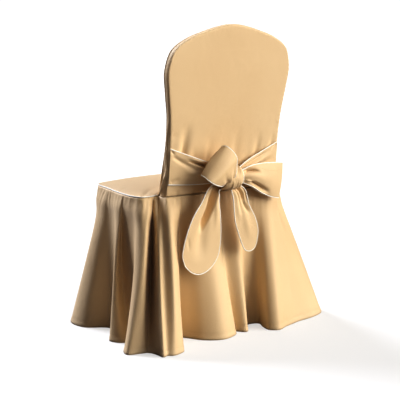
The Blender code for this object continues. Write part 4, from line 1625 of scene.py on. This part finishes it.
    def build(self, room: Workroom) -> None:
        """Sew the bow from its sash to its tails.

        Args:
            room: What it is sewn with.
        """
        self.sash(room, "left", self.sash_left, [
            Crease((0.21, 0.30), (0.28, 0.99), -0.0210, (0.0060, 0.0120), 0.5, 0.0, Profile.LAP),
            Crease((0.30, 0.99), (0.30, 0.40), 0.0030, (0.006, 0.006), 0.0, 0.50),
            Crease((0.06, 0.30), (0.09, 0.97), 0.0026, (0.005, 0.005), 0.4, 0.1),
            Crease((0.16, 0.02), (0.50, 0.62), -0.0040, (0.007, 0.010), 0.2, 0.5),
            Crease((0.86, 0.55), (0.64, 1.00), -0.0060, (0.005, 0.006), 0.5, 0.0),
            Crease((0.62, 0.20), (0.56, 0.98), 0.0036, (0.010, 0.010), 0.5, 0.1),
            Crease((0.03, 0.02), (0.12, 0.10), -0.0030, (0.004, 0.005), 0.1, 0.5),
            Crease((0.96, 0.04), (0.80, 0.22), -0.0022, (0.005, 0.007), 0.1, 0.5),
        ], 1, True, 101)
        self.sash(room, "right", self.sash_right, [
            Crease((0.10, 0.10), (0.30, 0.98), -0.0050, (0.005, 0.006), 0.4, 0.0),
            Crease((0.26, 0.05), (0.44, 0.98), 0.0036, (0.006, 0.007), 0.4, 0.0),
            Crease((0.46, 0.00), (0.56, 0.98), -0.0042, (0.007, 0.006), 0.4, 0.0),
            Crease((0.74, 0.30), (0.72, 0.98), -0.0046, (0.006, 0.006), 0.4, 0.0),
            Crease((0.02, 0.02), (0.14, 0.14), -0.0024, (0.004, 0.005), 0.1, 0.5),
        ], -1, False, 103)
        self.loop(room, "loop_up", self.loop_up, [
            Crease((0.30, 0.99), (0.44, 0.62), -0.0040, (0.005, 0.010), 0.0, 0.6),
            Crease((0.62, 0.99), (0.66, 0.66), 0.0030, (0.005, 0.010), 0.0, 0.6),
            Crease((0.82, 0.97), (0.86, 0.60), -0.0030, (0.004, 0.009), 0.0, 0.6),
            Crease((0.40, 0.01), (0.46, 0.36), -0.0040, (0.006, 0.012), 0.0, 0.6),
        ], (0.104, 0.225))
        sheet = self.loop(room, "loop_right", self.loop_right, [
            Crease((0.12, 0.94), (0.30, 0.75), -0.0165, (0.0045, 0.0055), 0.35, 0.5),
            Crease((0.44, 0.99), (0.50, 0.62), 0.0040, (0.007, 0.016), 0.0, 0.6),
            Crease((0.80, 0.90), (0.90, 0.63), -0.0140, (0.006, 0.008), 0.30, 0.45),
            Crease((0.80, 0.94), (0.68, 0.77), 0.0045, (0.003, 0.006), 0.2, 0.5, Profile.CREST),
            Crease((0.30, 0.01), (0.30, 0.36), -0.0040, (0.006, 0.010), 0.0, 0.6),
            Crease((0.70, 0.01), (0.72, 0.36), -0.0040, (0.006, 0.010), 0.0, 0.6),
        ], (0.106, 0.345))
        sewn = spline(((0.20, 0.54), (0.22, 0.61), (0.21, 0.69), (0.12, 0.77), (0.06, 0.83), (0.03, 0.88)))
        sewn_steps = 160
        line = sheet.line(*sewn(np.linspace(0.0, 1.0, sewn_steps)).T, STITCH_LIFT)
        room.stitches("loop_right_topstitch", line, pitch=0.0042, length=0.0030)
        self.knot(room)
        self.tail(room, "tail_left", self.tail_left, [
            Crease((0.34, 0.62), (0.54, 0.03), -0.0260, (0.0090, 0.0140), 0.40, 0.0, Profile.TROUGH),
            Crease((0.38, 0.34), (0.46, 0.90), -0.0070, (0.012, 0.024), 0.3, 0.5),
            Crease((0.84, 0.02), (0.86, 0.60), 0.0040, (0.006, 0.010), 0.1, 0.5),
            Crease((0.16, 0.05), (0.18, 0.70), 0.0036, (0.008, 0.016), 0.2, 0.5),
            Crease((0.05, 0.70), (0.18, 0.82), -0.0016, (0.004, 0.006), 0.2, 0.5),
        ], (0.140, 0.300), 0.0262)
        self.tail(room, "tail_right", self.tail_right, [
            Crease((0.71, 0.00), (0.66, 0.34), -0.0095, (0.004, 0.007), 0.0, 0.35),
            Crease((0.66, 0.28), (0.90, 0.52), -0.0060, (0.005, 0.007), 0.2, 0.5),
            Crease((0.97, 0.10), (0.91, 0.40), -0.0040, (0.003, 0.004), 0.1, 0.5),
            Crease((0.38, 0.00), (0.46, 0.50), -0.0050, (0.004, 0.007), 0.0, 0.6),
            Crease((0.24, 0.04), (0.30, 0.60), 0.0036, (0.006, 0.010), 0.1, 0.5),
            Crease((0.62, 0.30), (0.52, 0.90), 0.0030, (0.010, 0.016), 0.3, 0.5),
        ], (0.080, 0.205), 0.0122)


@dataclass(frozen=True)
class Sun:
    """A soft sun: where it shines from, how strong, how many degrees wide and its colour."""

    name: str
    shines_from: Place
    strength: float
    width: float
    colour: Place

    def hang(self) -> None:
        """Add the sun to the scene."""
        data = bpy.data.lights.new(self.name, "SUN")
        data.energy = self.strength
        data.color = self.colour
        data.angle = math.radians(self.width)
        put(self.name, data).rotation_euler = Vector(self.shines_from).to_track_quat("Z", "Y").to_euler()


@dataclass
class Studio:
    """Pale floor, camera and three soft suns.

    The key comes from the right of the picture, the window from beyond the chair on the left, and
    the near one from low on the camera's side.
    """

    camera: Place = (2.0903, 2.8893, 0.9985)
    target: Place = (0.0916, 0.1243, 0.4139)
    lens: float = 103.25
    sensor: float = 36.0
    floor_size: float = 40.0
    floor_lit: Place = (0.92, 0.915, 0.905)
    floor_pale: Place = (0.96, 0.955, 0.945)
    floor_bounce: Place = (0.13, 0.11, 0.10)
    floor_pale_share: float = 0.62
    suns: tuple[Sun, ...] = (
        Sun("key", (-0.62, 0.66, 0.38), 4.25, 52.0, (1.0, 0.985, 0.96)),
        Sun("window", (0.28, -0.74, 0.60), 5.0, 30.0, (0.87, 0.90, 1.0)),
        Sun("near", (-0.12, 0.95, 0.18), 0.65, 80.0, (1.0, 0.97, 0.93)),
    )
    fill: float = 0.07
    fill_colour: Place = (0.74, 0.72, 1.0)
    exposure: float = 0.10
    gamma: float = 0.75

    def lay_floor(self) -> None:
        """Lay the pale floor, which bounces less light than it shows."""
        half = self.floor_size / 2
        corners = [(-half, -half, 0), (half, -half, 0), (half, half, 0), (-half, half, 0)]
        mesh = bpy.data.meshes.new("studio_floor")
        mesh.from_pydata(corners, [], [(0, 1, 2, 3)])
        finish = bpy.data.materials.new("studio floor")
        finish.use_nodes = True
        finish.node_tree.nodes.clear()
        t = NodeTree(finish.node_tree)
        lit = t.add("ShaderNodeBsdfDiffuse", {"Color": (*self.floor_lit, 1.0)}).outputs[0]
        pale = t.add("ShaderNodeEmission", {"Color": (*self.floor_pale, 1.0)}).outputs[0]
        seen = t.add("ShaderNodeMixShader", {0: self.floor_pale_share, 1: lit, 2: pale}).outputs[0]
        bounced = t.add("ShaderNodeBsdfDiffuse", {"Color": (*self.floor_bounce, 1.0)}).outputs[0]
        direct = t.add("ShaderNodeLightPath").outputs["Is Camera Ray"]
        both = t.add("ShaderNodeMixShader", {0: direct, 1: bounced, 2: seen}).outputs[0]
        t.add("ShaderNodeOutputMaterial", {0: both})
        mesh.materials.append(finish)
        put("studio_floor", mesh)

    def light(self) -> None:
        """Set the world's light and hang the suns."""
        world = bpy.data.worlds.new("studio")
        world.use_nodes = True
        world.node_tree.nodes.clear()
        t = NodeTree(world.node_tree)
        seen = t.add("ShaderNodeBackground", {0: (1.0, 1.0, 1.0, 1.0), 1: 1.0}).outputs[0]
        around = t.add("ShaderNodeBackground", {0: (*self.fill_colour, 1.0), 1: self.fill}).outputs[0]
        direct = t.add("ShaderNodeLightPath").outputs["Is Camera Ray"]
        both = t.add("ShaderNodeMixShader", {0: direct, 1: around, 2: seen}).outputs[0]
        t.add("ShaderNodeOutputWorld", {0: both})
        bpy.context.scene.world = world
        for sun in self.suns:
            sun.hang()

    def place_camera(self) -> None:
        """Put the camera where the photograph was taken from."""
        data = bpy.data.cameras.new("camera")
        data.lens = self.lens
        data.sensor_width = self.sensor
        camera = put("camera", data)
        camera.location = self.camera
        away = Vector(self.camera) - Vector(self.target)
        camera.rotation_euler = away.to_track_quat("Z", "Y").to_euler()
        bpy.context.scene.camera = camera

    def build(self) -> None:
        """Set up floor, light and camera."""
        self.lay_floor()
        self.light()
        self.place_camera()
        view = bpy.context.scene.view_settings
        view.view_transform = "Standard"
        view.exposure = self.exposure
        view.gamma = self.gamma
        log.info("studio: floor, three soft lights and the camera")


def main() -> None:
    """Build the studio and sew the cover, sub-assembly by sub-assembly."""
    logging.basicConfig(level=logging.INFO, format="%(name)s %(message)s")
    Studio().build()
    weave = weave_group()
    finishes = Finishes(
        cloth=ClothFinish(weave, crumple_group()).material("tan satin cotton"),
        piping=PipingFinish(weave).material("cream piping"),
        thread=ThreadFinish().material("tan thread"),
    )
    room = Workroom(finishes, cord_tree(finishes.piping), stitch_tree(finishes.thread))
    seat = Seat()
    for part in (Back(), seat, Skirt(seat), Bow()):
        part.build(room)
        log.info("%s is done", type(part).__name__)


if __name__ == "__main__":
    main()
